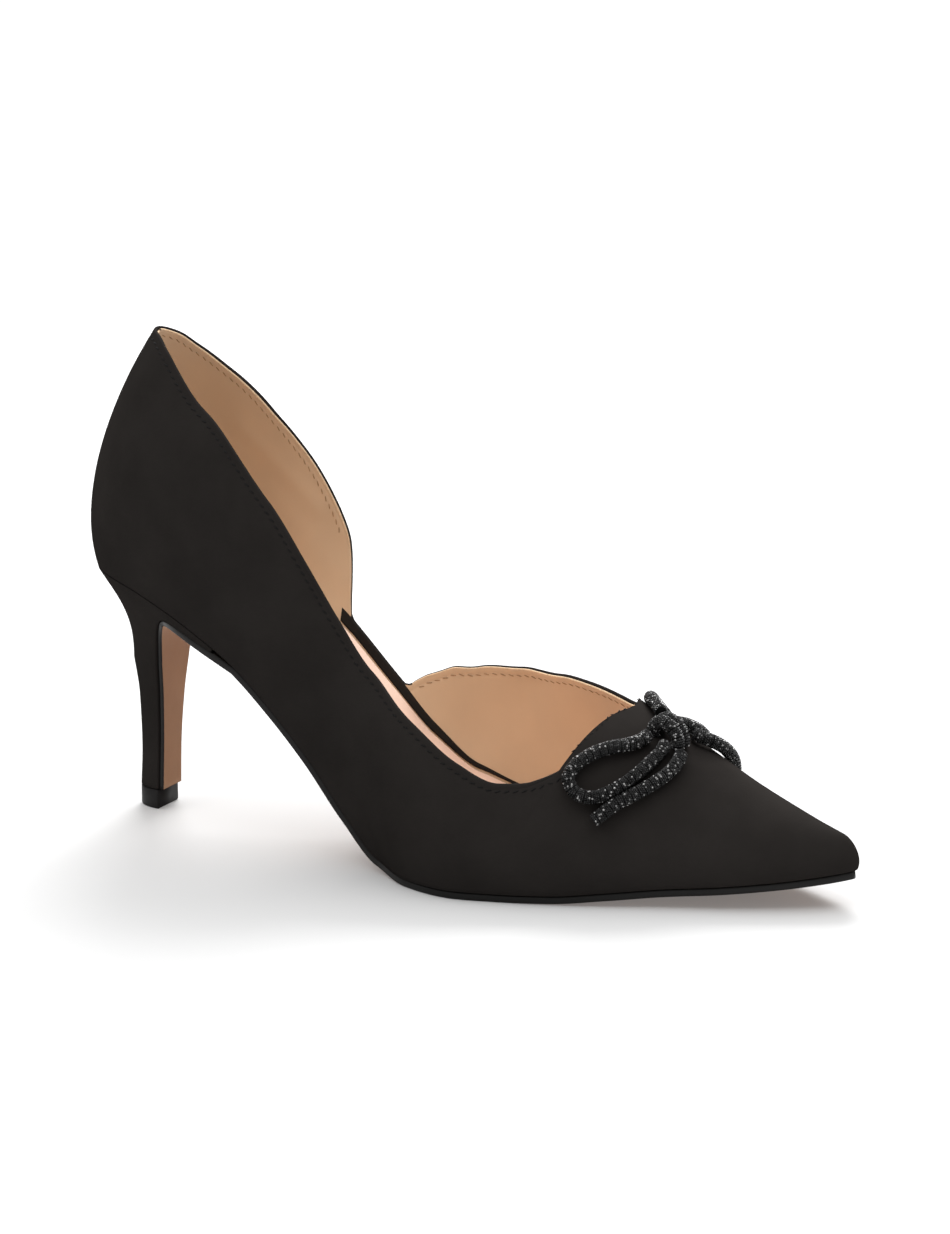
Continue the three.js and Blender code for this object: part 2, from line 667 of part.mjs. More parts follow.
// Height of the skin over a point of a cross-section's upper part, where it only narrows
function skinAcross(row, y) {
  const side = y < skin(row, OUTER, 1).y ? OUTER : INNER;
  let low = NARROWING_UP;
  let high = 1;
  while (high - low > 1e-6) {
    const middle = (low + high) / 2;
    if (side * (skin(row, side, middle).y - y) > 0) low = middle;
    else high = middle;
  }
  return skin(row, side, low).z;
}

const MATERIALS = {
  satin: { color: 0x262322, roughness: 0.55, metalness: 0 },
  sock: { color: 0xecc0a5, roughness: 0.7, metalness: 0 },
  leather: { color: 0xbe8e6c, roughness: 0.6, metalness: 0 },
  rubber: { color: 0x151414, roughness: 0.6, metalness: 0 },
  beads: { color: 0x2b2b2d, roughness: 0.35, metalness: 0.2 },
};

const group = new THREE.Group();

function add(name, geometry, finish) {
  const mesh = new THREE.Mesh(geometry, new THREE.MeshStandardMaterial(MATERIALS[finish]));
  mesh.name = name;
  group.add(mesh);
}

add("upper", upperGeometry(), "satin");
add("insole", insoleGeometry(), "sock");
add("outsole", outsoleGeometry(), "leather");
add("heel", heelGeometry(), "satin");
add("top_lift", topLiftGeometry(), "rubber");
add("bow_knot", knotGeometry(), "beads");
add("bow_loop_outer", cordGeometry(OUTER_LOOP, OUTER, LOOP_STEPS), "beads");
add("bow_tail_outer", cordGeometry(OUTER_TAIL, OUTER, TAIL_STEPS), "beads");
add("bow_loop_inner", cordGeometry(INNER_LOOP, INNER, LOOP_STEPS), "beads");
add("bow_tail_inner", cordGeometry(INNER_TAIL, INNER, TAIL_STEPS), "beads");

// The frame's origin: under the middle of the shoe, on the floor
const bounds = new THREE.Box3().setFromObject(group);
const middle = bounds.getCenter(new THREE.Vector3());
group.position.set(-middle.x, -middle.y, -bounds.min.z);

export default group;
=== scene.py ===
# The looks of the pump shoe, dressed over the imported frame. Sizes are millimetres until a mesh is made.
# The heel tip's centre is the origin of the sizes: +X to the toe, +Y to the inner side, +Z up.
import math
import random

import bmesh
import bpy
import numpy as np
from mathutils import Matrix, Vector
from mathutils.bvhtree import BVHTree


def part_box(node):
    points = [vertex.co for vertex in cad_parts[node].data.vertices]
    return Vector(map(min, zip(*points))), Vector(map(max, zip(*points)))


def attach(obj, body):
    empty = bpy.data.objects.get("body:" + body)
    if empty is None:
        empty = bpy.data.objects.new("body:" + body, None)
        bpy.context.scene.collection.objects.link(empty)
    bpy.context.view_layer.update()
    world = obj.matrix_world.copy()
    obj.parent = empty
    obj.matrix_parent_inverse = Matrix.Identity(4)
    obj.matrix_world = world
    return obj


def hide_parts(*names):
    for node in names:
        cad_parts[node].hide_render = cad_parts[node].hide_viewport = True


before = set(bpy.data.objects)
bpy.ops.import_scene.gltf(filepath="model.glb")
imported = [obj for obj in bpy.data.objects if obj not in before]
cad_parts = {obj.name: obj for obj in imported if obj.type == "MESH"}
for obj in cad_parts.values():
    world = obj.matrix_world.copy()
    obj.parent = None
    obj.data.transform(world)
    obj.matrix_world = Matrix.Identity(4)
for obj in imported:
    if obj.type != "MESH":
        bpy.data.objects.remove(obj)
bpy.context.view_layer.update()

MM = 0.001
ORIGIN = np.array([-99.957, 0.968, 0.0])  # the heel tip's centre in the frame
OUTER, INNER = -1, 1

# Driving dimensions of the last, as in the part's source
SOLE_LENGTH = 229.8
BALL_WIDTH = 77
SEAT_HEIGHT = 69.1
SEAT_OVERHANG = 14.3
TOE_SPRING = 8.0
ARCH_LIFT = 8
TIP_SHIFT = 4.6
CREST_HEIGHT = 109
COLLAR_HEIGHT = 68
BELLY = 12
THROAT_AT = 0.716
THROAT_X = THROAT_AT * SOLE_LENGTH - SEAT_OVERHANG

# Thicknesses
WALL = 1.8
SATIN = 1.05
LINING_GAP = 0.05
INSOLE = 3.2
OUTSOLE = 2.2
FLAP = 1.2
GAP = 0.3
EDGE_INSET = 0.7
FLAP_INSET = 0.28
FLAP_BEND = 0.03
SATIN_DROP = {OUTER: 0, INNER: 0}  # the layer's rim under the topline
LINING_DROP = {OUTER: 0.55, INNER: 0.12}
SOCK_GAP = 0.12  # sock to the upper's inner face
SOCK_CROWN = 0.25  # the sock's middle above its sides
SOCK_CORNER, SOLE_CORNER, FLAP_CORNER = 0.8, 0.5, 0.35  # radii of the rounded edges

# The heel
TIP_HALF = 5.4
TIP_FRONT = 4.0
TIP_BACK = 4.1
TOP_LIFT = 5.7
SHAFT_HEIGHT = 44
PLATE = 0.9
BREAST_AT = 0.212

# The bow
CORD = 3.5
CORD_LIFT = 0.3
BEAD_PITCH = 0.62
BEAD_ROWS = 0.92  # from one row of beads to the next, share of the pitch
BEAD_SUNK = 0.55  # share of a bead's size inside the cord
BEAD_SHIFT, BEAD_TILT, BEAD_SIZES = 0.08, 0.22, (0.88, 1.06)  # their irregularity
# Share of beads given a pale grey finish as painted glints
PAINTED_GLINT_SHARE = 0.11
TUBE_INSET = 0.34  # the net under the beads
TUBE_SIDES = 20
TUBE_END = 0.3  # its radius at the cut ends, share of its own
PATH_STEP = 0.25
SPAN_STEPS = 24
KNOT_SWEEP = (-12, 192)  # degrees of the turn over the bow
KNOT_POINTS = 15
KNOT_OFFSETS = (-1.75, 1.75)  # the two turns, off the knot's middle
KNOT_MIDDLE = 0.42  # height of the turn's centre, share of the knot's
KNOT_CLEAR = 0.2  # under the knot's top
KNOT_SLOPE, KNOT_TWIST = 0.24, 0.8  # down towards the toe, and across
KNOT_SEED = 20

# Stitches
STITCH_INSET = 2.3  # seam line to the topline's edge
STITCH_PITCH = 2.4
STITCH_LENGTH = 1.7
THREAD = 0.34
THROAT_CLEAR = 5.0
THREAD_LIFT = 0.12  # share of the thread
END_FULLNESS = 0.7  # roundness of a stitch's ends
BLACK_SLANT, TAN_SLANT = 0.35, -0.3  # radians off the seam
LOOK_AHEAD = 0.5  # for the seam's direction
SEAM_WIDTH = 0.7
SATIN_SEAM, LINING_SEAM = 0.1, 0.12  # how far the seam pulls each face in


def columns(names, rows):
    """A table of rows as one array for each column."""
    return dict(zip(names.split(), np.array(rows, dtype=float).T))


# The sole's outline: share of the sole length, and half-widths as shares of half the ball width
OUTLINE = columns("at outer inner", [
    (0.0, 0.0, 0.0),
    (0.011, 0.25, 0.25),
    (0.041, 0.436, 0.436),
    (0.084, 0.566, 0.561),
    (0.136, 0.632, 0.608),
    (0.188, 0.645, 0.6),
    (0.24, 0.645, 0.575),
    (0.292, 0.635, 0.57),
    (0.344, 0.64, 0.585),
    (0.396, 0.672, 0.66),
    (0.448, 0.775, 0.79),
    (0.5, 0.955, 0.915),
    (0.56, 1.04, 0.975),
    (0.62, 0.965, 0.99),
    (0.68, 0.85, 0.93),
    (0.742, 0.705, 0.83),
    (0.803, 0.55, 0.72),
    (0.864, 0.405, 0.58),
    (0.92, 0.24, 0.43),
    (0.963, 0.092, 0.3),
    (0.989, -0.025, 0.2),
    (1.0, -0.1195, 0.1195),
])

# The sole's side profile: shares of the seat height, the toe spring and the arch lift
PROFILE = columns("at rise spring arch", [
    (0.0, 1.0, 0, 0),
    (0.041, 0.993, 0, 0),
    (0.084, 0.972, 0, 0.03),
    (0.136, 0.913, 0, 0.15),
    (0.188, 0.822, 0, 0.4),
    (0.24, 0.708, 0, 0.8),
    (0.292, 0.546, 0, 1.0),
    (0.344, 0.363, 0, 1.0),
    (0.396, 0.162, 0, 1.0),
    (0.448, 0.028, 0, 0.85),
    (0.5, 0, 0, 0.42),
    (0.56, 0, 0, 0),
    (0.62, 0, 0, 0),
    (0.68, 0, 0.03, 0),
    (0.742, 0, 0.2, 0),
    (0.803, 0, 0.39, 0),
    (0.864, 0, 0.52, 0),
    (0.92, 0, 0.68, 0),
    (1.0, 0, 1, 0),
])

# The last's sections: the crest's place, the two handles of the section's curve
SECTIONS = columns("at ahead side height belly rise shoulder drop", [
    (0.0, 0.111, 0, 0.727, 0.5, 0.24, 0.84, 0.35),
    (0.084, 0.064, 0, 0.735, 0.5, 0.25, 0.98, 0.3),
    (0.188, 0.009, 0, 0.742, 0.68, 0.26, 1.12, 0.23),
    (0.292, 0.0, 0.1, 0.9, 0.92, 0.27, 1.27, 0.15),
    (0.396, 0.0, 0.3, 0.833, 0.78, 0.28, 1.25, 0.08),
    (0.5, 0.0, 0.6, 0.704, 0.52, 0.3, 1.06, 0.03),
    (0.56, 0.0, 0.74, 0.582, 0.42, 0.31, 0.86, 0.01),
    (0.62, 0.0, 0.86, 0.513, 0.4, 0.32, 0.74, 0),
    (0.68, 0.0, 0.94, 0.443, 0.37, 0.33, 0.69, 0),
    (0.742, 0.0, 0.98, 0.369, 0.33, 0.34, 0.62, 0),
    (0.803, 0.0, 1, 0.29, 0.29, 0.35, 0.58, 0),
    (0.864, -0.001, 1, 0.217, 0.25, 0.36, 0.55, 0),
    (0.92, -0.005, 1, 0.159, 0.21, 0.36, 0.55, 0),
    (0.963, -0.012, 1, 0.117, 0.17, 0.36, 0.57, 0),
    (1.0, -0.02, 1, 0.086, 0.14, 0.35, 0.6, 0),
])

# The topline on each side: height above the sole's edge, share of the collar height
TOPLINES = {
    OUTER: columns("at top", [
        (0.0, 1.0),
        (0.04, 0.989),
        (0.087, 0.961),
        (0.121, 0.941),
        (0.181, 0.907),
        (0.237, 0.901),
        (0.297, 0.895),
        (0.354, 0.85),
        (0.401, 0.822),
        (0.453, 0.771),
        (0.512, 0.648),
        (0.567, 0.51),
        (0.615, 0.438),
        (0.64, 0.44),
        (0.658, 0.457),
        (0.675, 0.485),
        (0.693, 0.538),
        (0.705, 0.588),
        (0.712, 0.628),
        (THROAT_AT, 0.65),
    ]),
    INNER: columns("at top", [
        (0.0, 1.0),
        (0.04, 0.971),
        (0.073, 0.928),
        (0.109, 0.885),
        (0.145, 0.846),
        (0.171, 0.804),
        (0.198, 0.729),
        (0.22, 0.65),
        (0.24, 0.578),
        (0.256, 0.515),
        (0.271, 0.449),
        (0.279, 0.395),
        (0.2815, 0.335),
        (0.2825, 0.255),
        (0.2835, 0.17),
        (0.286, 0.105),
        (0.291, 0.09),
        (0.335, 0.093),
        (0.358, 0.097),
        (0.365, 0.119),
        (0.372, 0.163),
        (0.386, 0.244),
        (0.402, 0.316),
        (0.424, 0.414),
        (0.471, 0.525),
        (0.518, 0.592),
        (0.574, 0.635),
        (0.604, 0.628),
        (0.632, 0.617),
        (0.656, 0.602),
        (0.675, 0.591),
        (0.693, 0.602),
        (0.705, 0.622),
        (0.712, 0.64),
        (THROAT_AT, 0.65),
    ]),
}

# Where a line up the wall starts on the sole's edge, for its end on the topline or the crest
LEAN = columns("at foot", [
    (0.0, 0.0),
    (0.29, 0.29),
    (0.36, 0.36),
    (0.55, 0.5),
    (THROAT_AT, 0.62),
    (1.0, 1.0),
])

# The heel's shaft: share of its height, and shares of the tip's sizes
SHAFT = columns("at front back half", [
    (0.136, 1.02, 1.01, 1.0),
    (0.4, 1.11, 0.88, 1.0),
    (0.75, 1.3, 0.97, 1.18),
    (1.0, 1.48, 1.32, 1.5),
])

# The handles of the curves from the shaft up to the seat, at the heel's back and at its front corners
FLARE = {
    "back": {"ahead": 0, "inward": 0, "rise": 12, "reach": 0.45, "narrow": 0.45, "lift": -9},
    "corner": {"ahead": 1.2, "inward": 2.2, "rise": 19, "reach": 0.72, "narrow": 0.2, "lift": 7},
}

# The bow's cords, laid on the upper: place along the sole, share up the wall, extra height in cords
BOW = {
    "bow_loop_outer": (OUTER, columns("at up lift", [
        (0.7485, 0.82, 0.05),
        (0.744, 0.77, 0),
        (0.734, 0.725, 0),
        (0.718, 0.681, 0),
        (0.702, 0.627, 0),
        (0.69, 0.57, 0),
        (0.686, 0.51, 0),
        (0.697, 0.465, 0),
        (0.716, 0.462, 0),
        (0.738, 0.52, 0),
        (0.753, 0.6, 0),
        (0.763, 0.69, 0),
        (0.768, 0.76, 0),
        (0.769, 0.82, 0.05),
    ])),
    "bow_tail_outer": (OUTER, columns("at up lift", [
        (0.7885, 0.815, 0.05),
        (0.789, 0.76, 0),
        (0.785, 0.68, 0),
        (0.771, 0.58, 0),
        (0.756, 0.51, 0),
        (0.74, 0.45, 0),
        (0.722, 0.37, 0),
    ])),
    "bow_loop_inner": (INNER, columns("at up lift", [
        (0.742, 0.985, 0.05),
        (0.733, 0.95, 0.05),
        (0.72, 0.9, 0),
        (0.709, 0.825, 0),
        (0.704, 0.74, 0),
        (0.708, 0.65, 0),
        (0.72, 0.575, 0),
        (0.738, 0.535, 0),
        (0.756, 0.55, 0),
        (0.768, 0.62, 0),
        (0.773, 0.72, 0),
        (0.773, 0.825, 0),
        (0.769, 0.925, 0.05),
        (0.7625, 0.985, 0.05),
    ])),
    "bow_tail_inner": (INNER, columns("at up lift", [
        (0.7835, 0.985, 0.05),
        (0.791, 0.972, 0.1),
        (0.799, 0.94, 0.15),
        (0.805, 0.88, 0.1),
        (0.808, 0.8, 0.05),
        (0.809, 0.7, 0),
        (0.806, 0.6, 0),
        (0.8, 0.49, 0),
    ])),
}

LAST_ROW = len(OUTLINE["at"]) - 1


# Small helpers on arrays of points
def stack(*parts):
    return np.stack(np.broadcast_arrays(*parts), axis=-1).astype(float)


def unit(vectors):
    return vectors / np.maximum(np.linalg.norm(vectors, axis=-1, keepdims=True), 1e-12)


def mix(a, b, share):
    return a + (b - a) * share


def smoothstep(x, low, high):
    f = np.clip((x - low) / (high - low), 0, 1)
    return f * f * (3 - 2 * f)


def length_along(points):
    steps = np.linalg.norm(np.diff(points, axis=0), axis=1)
    return np.concatenate([[0], np.cumsum(steps)])


def points_at(even, run, points):
    """Points of a line at distances along it."""
    return np.stack([np.interp(even, run, points[:, i]) for i in range(3)], axis=1)


# The last
def spline(before, start, end, after, share):
    """Uniform Catmull-Rom through four neighbouring values."""
    bend = 2 * before - 5 * start + 4 * end - after
    twist = 3 * (start - end) + after - before
    return start + 0.5 * share * (end - before + share * (bend + share * twist))


def outline(row, name):
    """A value of the sole's outline, a closed loop, so a neighbour past either tip lies on the other side."""
    far = {"at": "at", "outer": "inner", "inner": "outer"}[name]
    sign = 1 if name == "at" else -1
    line = np.concatenate([[sign * OUTLINE[far][1]], OUTLINE[name], [sign * OUTLINE[far][-2]]])
    start = np.clip(np.floor(row), 0, LAST_ROW - 1).astype(int)
    return spline(line[start], line[start + 1], line[start + 2], line[start + 3], row - start)


def solve(function, target, low, high, steps=34):
    """Where a rising function meets each target, by halving."""
    low = np.full(np.shape(target), float(low))
    high = np.full(np.shape(target), float(high))
    for _ in range(steps):
        middle = (low + high) / 2
        below = function(middle) < target
        low = np.where(below, middle, low)
        high = np.where(below, high, middle)
    return (low + high) / 2


def row_at(at):
    return solve(lambda row: outline(row, "at"), np.asarray(at, dtype=float), 0, LAST_ROW)


def look_up(table, name, x):
    """Smooth interpolation in a table, without overshoot."""
    keys, values = table["at"], table[name]
    slopes = np.diff(values) / np.diff(keys)
    before, after = slopes[:-1], slopes[1:]
    total = np.where(before * after > 0, before + after, 1)
    inner = np.where(before * after > 0, 2 * before * after / total, 0)
    tangents = np.concatenate([[slopes[0]], inner, [slopes[-1]]])
    i = np.clip(np.searchsorted(keys, x) - 1, 0, len(keys) - 2)
    span = keys[i + 1] - keys[i]
    f = np.clip((x - keys[i]) / span, 0, 1)
    ease = span * f * (1 - f) * ((1 - f) * tangents[i] - f * tangents[i + 1])
    return mix(values[i], values[i + 1], (3 - 2 * f) * f * f) + ease


def sole_height(at):
    rise = SEAT_HEIGHT * look_up(PROFILE, "rise", at)
    return OUTSOLE + GAP + rise + TOE_SPRING * look_up(PROFILE, "spring", at)


def edge(row, side):
    """The sole's edge, where the upper ends."""
    at = outline(row, "at")
    half = outline(row, "outer" if side == OUTER else "inner")
    arch = ARCH_LIFT * look_up(PROFILE, "arch", at) if side == INNER else 0
    return stack(at * SOLE_LENGTH - SEAT_OVERHANG, side * half * BALL_WIDTH / 2, sole_height(at) + arch)


def outward(row, side):
    """Level direction out of the sole's edge."""
    step = 0.02
    row = np.asarray(row, dtype=float)
    along = edge(np.minimum(row + step, LAST_ROW), side) - edge(np.maximum(row - step, 0), side)
    level = unit(stack(-side * along[..., 1], side * along[..., 0], 0))
    level[row < step] = (-1, 0, 0)
    level[row > LAST_ROW - step] = (1, 0, 0)
    return level


def bezier(a, b, c, d, t):
    t = np.asarray(t, dtype=float)[..., None]
    return a * (1 - t) ** 3 + 3 * b * t * (1 - t) ** 2 + 3 * c * t * t * (1 - t) + d * t ** 3


def skin(row, side, up):
    """A point on the last's skin. up: 0 at the sole's edge, 1 on the crest."""
    at = outline(row, "at")
    section = {name: look_up(SECTIONS, name, at) for name in SECTIONS if name != "at"}
    low = edge(row, side)
    crest = sole_height(at) + CREST_HEIGHT * section["height"]
    high = stack(low[..., 0] + section["ahead"] * SOLE_LENGTH, TIP_SHIFT * section["side"], crest)
    height = high[..., 2] - low[..., 2]
    bulge = low + outward(row, side) * (BELLY * section["belly"])[..., None]
    bulge[..., 2] += height * section["rise"]
    shoulder = mix(high, low, section["shoulder"][..., None])
    shoulder[..., 2] = high[..., 2] - height * section["drop"]
    return bezier(low, bulge, shoulder, high, up)


def skin_normal(row, side, up):
    step = 0.01
    row, up = np.broadcast_arrays(np.asarray(row, dtype=float), np.asarray(up, dtype=float))
    along = skin(np.minimum(row + step, LAST_ROW), side, up) - skin(np.maximum(row - step, 0), side, up)
    climb = skin(row, side, np.minimum(up + step, 1)) - skin(row, side, np.maximum(up - step, 0))
    crest = stack(-along[..., 2], 0, along[..., 0])
    along[row < step] = (0, side, 0)
    along[row > LAST_ROW - step] = (0, -side, 0)
    normal = side * np.cross(climb, along)
    return unit(np.where((up > 1 - 1e-9)[..., None], crest, normal))


def share_at_height(row, side, height):
    """Share of the section's curve at a height above the sole's edge."""
    return solve(lambda up: skin(row, side, up)[..., 2], edge(row, side)[..., 2] + height, 0, 1)


def sole_normal(row):
    """Square to the sole, pointing up."""
    at = outline(row, "at")
    step = 0.002
    slope = (sole_height(at + step) - sole_height(at - step)) / (2 * step * SOLE_LENGTH)
    return unit(stack(-slope, 0, 1))


# Making meshes
def quads(count, rows, closed=False):
    """Faces of a grid of points, count lines of rows points."""
    line, step = np.meshgrid(np.arange(count - 1), np.arange(rows if closed else rows - 1), indexing="ij")
    after = (step + 1) % rows
    corners = [line * rows + step, (line + 1) * rows + step, (line + 1) * rows + after, line * rows + after]
    return np.stack(corners, axis=-1).reshape(-1, 4)


WELD = 1e-4


def make_piece(name, patches, materials, smooth=True, weld=WELD):
    """One mesh from patches: (points, faces, material number). Points are in millimetres."""
    points, faces, finishes = [], [], []
    total = 0
    for patch_points, patch_faces, finish in patches:
        flat = np.asarray(patch_points, dtype=float).reshape(-1, 3)
        points.append(flat)
        faces.extend([int(corner) + total for corner in face] for face in patch_faces)
        finishes.extend([finish] * len(patch_faces))
        total += len(flat)
    mesh = bpy.data.meshes.new(name)
    mesh.from_pydata((np.concatenate(points) + ORIGIN) * MM, [], faces)
    mesh.polygons.foreach_set("material_index", finishes)
    shape = bmesh.new()
    shape.from_mesh(mesh)
    if weld:
        bmesh.ops.remove_doubles(shape, verts=shape.verts, dist=weld * MM)
        bmesh.ops.recalc_face_normals(shape, faces=shape.faces)
    shape.to_mesh(mesh)
    shape.free()
    mesh.polygons.foreach_set("use_smooth", [smooth] * len(mesh.polygons))
    for material in materials:
        mesh.materials.append(material)
    piece = bpy.data.objects.new(name, mesh)
    bpy.context.scene.collection.objects.link(piece)
    return piece


def place(piece, slot, *nodes):
    """Rides on the shoe's one body and hides the nodes it covers; the slot is not used."""
    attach(piece, "root")
    if nodes:
        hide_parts(*nodes)


# Materials
def new_material(name, color, roughness, sockets=()):
    material = bpy.data.materials.new(name)
    material.use_nodes = True
    shader = material.node_tree.nodes["Principled BSDF"]
    shader.inputs["Base Color"].default_value = (*color, 1)
    shader.inputs["Roughness"].default_value = roughness
    for socket, value in dict(sockets).items():
        shader.inputs[socket].default_value = value
    return material


def add_node(material, kind, **values):
    """A node with its socket values set by name."""
    node = material.node_tree.nodes.new(kind)
    for name, value in values.items():
        node.inputs[name.replace("_", " ").title()].default_value = value
    return node


def link(material, source, target):
    material.node_tree.links.new(source, target)


def object_space(material, stretch=(1, 1, 1)):
    place_in = material.node_tree.nodes.new("ShaderNodeTexCoord")
    mapping = material.node_tree.nodes.new("ShaderNodeMapping")
    mapping.inputs["Scale"].default_value = stretch
    link(material, place_in.outputs["Object"], mapping.inputs["Vector"])
    return mapping.outputs["Vector"]


def noise(material, scale, detail=3.0, roughness=0.5, stretch=(1, 1, 1)):
    node = add_node(material, "ShaderNodeTexNoise", Scale=scale, Detail=detail, Roughness=roughness)
    link(material, object_space(material, stretch), node.inputs["Vector"])
    return node.outputs["Factor"] if "Factor" in node.outputs else node.outputs["Fac"]


def ramp(material, source, low, high, dark, light):
    """A value between two limits as a colour between two colours."""
    node = material.node_tree.nodes.new("ShaderNodeValToRGB")
    node.color_ramp.elements[0].position = low
    node.color_ramp.elements[1].position = high
    node.color_ramp.elements[0].color = (*dark, 1)
    node.color_ramp.elements[1].color = (*light, 1)
    link(material, source, node.inputs["Fac"])
    return node.outputs["Color"]


def paint(material, color_output):
    link(material, color_output, material.node_tree.nodes["Principled BSDF"].inputs["Base Color"])


def remap(material, source, low, high):
    node = material.node_tree.nodes.new("ShaderNodeMapRange")
    node.inputs["To Min"].default_value = low
    node.inputs["To Max"].default_value = high
    link(material, source, node.inputs["Value"])
    return node.outputs["Result"]


def roughen(material, source, low, high):
    shader = material.node_tree.nodes["Principled BSDF"]
    link(material, remap(material, source, low, high), shader.inputs["Roughness"])


def relief(material, *layers):
    """Bumps on each other: (source, depth in millimetres, strength)."""
    normal = None
    for source, depth, strength in layers:
        bump = add_node(material, "ShaderNodeBump", Strength=strength, Distance=depth * MM)
        link(material, source, bump.inputs["Height"])
        if normal:
            link(material, normal, bump.inputs["Normal"])
        normal = bump.outputs["Normal"]
    link(material, normal, material.node_tree.nodes["Principled BSDF"].inputs["Normal"])


def scaled(color, factor):
    return tuple(channel * factor for channel in color)


def mottle(material, source, color, shades, limits=(0.3, 0.7)):
    """A colour that a texture darkens and lightens."""
    dark, light = (scaled(color, shade) for shade in shades)
    paint(material, ramp(material, source, *limits, dark, light))


SATIN_BLACK = (0.0210, 0.0187, 0.0174)
LINING_TAN = (0.580, 0.420, 0.275)
LINING_EDGE = (0.620, 0.430, 0.265)
SOCK_PINK = (0.700, 0.490, 0.385)
SOLE_TAN = (0.350, 0.185, 0.100)
EDGE_BLACK = (0.006, 0.0055, 0.005)


def satin_material():
    material = new_material("satin", SATIN_BLACK, 0.6, {"Specular IOR Level": 0.0})
    threads = noise(material, 900, 2.0, 0.6, (1, 1, 3.2))
    cloth = noise(material, 38, 4.0, 0.55)
    mottle(material, cloth, SATIN_BLACK, (0.88, 1.12), (0.35, 0.65))
    roughen(material, threads, 0.42, 0.58)
    relief(material, (threads, 0.05, 0.5), (noise(material, 120, 3.0), 0.08, 0.4))
    return material


def lining_material():
    material = new_material("lining", LINING_TAN, 0.75, {"Sheen Weight": 0.3, "Sheen Roughness": 0.5})
    nap = noise(material, 1400, 4.0, 0.65)
    cloud = noise(material, 45, 3.0, 0.5, (1, 1, 0.6))
    mottle(material, cloud, LINING_TAN, (0.93, 1.06))
    roughen(material, nap, 0.62, 0.85)
    relief(material, (nap, 0.04, 0.5), (noise(material, 160, 3.0), 0.12, 0.35))
    return material


def lining_edge_material():
    material = new_material("lining_edge", LINING_EDGE, 0.8)
    fibre = noise(material, 1800, 3.0, 0.7)
    mottle(material, fibre, LINING_EDGE, (0.7, 1.15))
    relief(material, (fibre, 0.08, 0.8))
    return material


def sock_material():
    material = new_material("sock", SOCK_PINK, 0.6, {"Coat Weight": 0.05, "Coat Roughness": 0.4})
    grain = noise(material, 900, 4.0, 0.6)
    mottle(material, noise(material, 60, 3.0), SOCK_PINK, (0.97, 1.03))
    roughen(material, grain, 0.5, 0.7)
    relief(material, (grain, 0.06, 0.5))
    return material


def sole_material():
    material = new_material("sole_leather", SOLE_TAN, 0.6, {"Specular IOR Level": 0.12})
    grain = noise(material, 700, 4.0, 0.6, (1, 1.6, 1))
    mottle(material, noise(material, 70, 4.0), SOLE_TAN, (0.94, 1.06))
    roughen(material, grain, 0.45, 0.65)
    relief(material, (grain, 0.05, 0.5))
    return material


def painted_edge_material():
    gloss = {"Specular IOR Level": 0.15, "Coat Weight": 0.12, "Coat Roughness": 0.2}
    material = new_material("painted_edge", EDGE_BLACK, 0.4, gloss)
    wear = noise(material, 260, 4.0, 0.6, (1, 1, 2.5))
    roughen(material, wear, 0.3, 0.5)
    relief(material, (wear, 0.06, 0.4))
    return material


def rubber_material():
    material = new_material("rubber", (0.012, 0.011, 0.011), 0.6, {"Specular IOR Level": 0.15})
    grain = noise(material, 500, 4.0, 0.6)
    roughen(material, grain, 0.42, 0.6)
    relief(material, (grain, 0.06, 0.5))
    return material


def thread_material(name, color):
    material = new_material(name, color, 0.7, {"Specular IOR Level": 0.15})
    twist = noise(material, 2500, 2.0, 0.6)
    mottle(material, twist, color, (0.75, 1.2))
    relief(material, (twist, 0.05, 0.6))
    return material


def bead_material(name, dark, light, specular):
    material = new_material(name, dark, 0.15, {"Specular IOR Level": specular})
    tone = noise(material, 1500, 1.0)
    paint(material, ramp(material, tone, 0.4, 0.7, dark, light))
    roughen(material, tone, 0.08, 0.25)
    return material


def net_material():
    material = new_material("net", (0.004, 0.004, 0.004), 0.7, {"Specular IOR Level": 0.1})
    strand = noise(material, 1600, 2.0, 0.6)
    paint(material, ramp(material, strand, 0.35, 0.7, (0.002, 0.002, 0.002), (0.01, 0.01, 0.01)))
    relief(material, (strand, 0.08, 0.7))
    return material


# The upper's walls: lines from the sole's edge to the topline or the crest
LINE_STEP = 1.0
WALL_STEPS = 44
RIM_CROWD = 1.6
RIM_STEPS = 6
RIM_SMOOTH = 4
RIM_FADE = 4
TOPLINE_SAMPLES, CREST_SAMPLES = 4001, 600
LEAN_SPREAD = 24


def topline_line(side):
    """Rows and shares evenly spaced along the topline, from the back to the throat."""
    at = np.linspace(0, THROAT_AT, TOPLINE_SAMPLES)
    row = row_at(at)
    up = share_at_height(row, side, COLLAR_HEIGHT * look_up(TOPLINES[side], "top", at))
    up[-1] = 1
    return even_line(row, up, side)


def crest_line():
    at = np.linspace(THROAT_AT, 1, CREST_SAMPLES)
    row = row_at(at)
    row[-1] = LAST_ROW
    return even_line(row, np.ones_like(row), OUTER)


def even_line(row, up, side):
    run = length_along(skin(row, side, up))
    count = int(round(run[-1] / LINE_STEP))
    even = np.linspace(0, run[-1], count + 1)
    return np.interp(even, run, row), np.interp(even, run, up)


def smooth_ends_kept(values, reach):
    """Moving average that leaves both end values where they are."""
    before = 2 * values[0] - values[reach:0:-1]
    after = 2 * values[-1] - values[-2:-reach - 2:-1]
    line = np.concatenate([before, values, after])
    kernel = np.ones(2 * reach + 1) / (2 * reach + 1)
    return np.convolve(line, kernel, mode="valid")


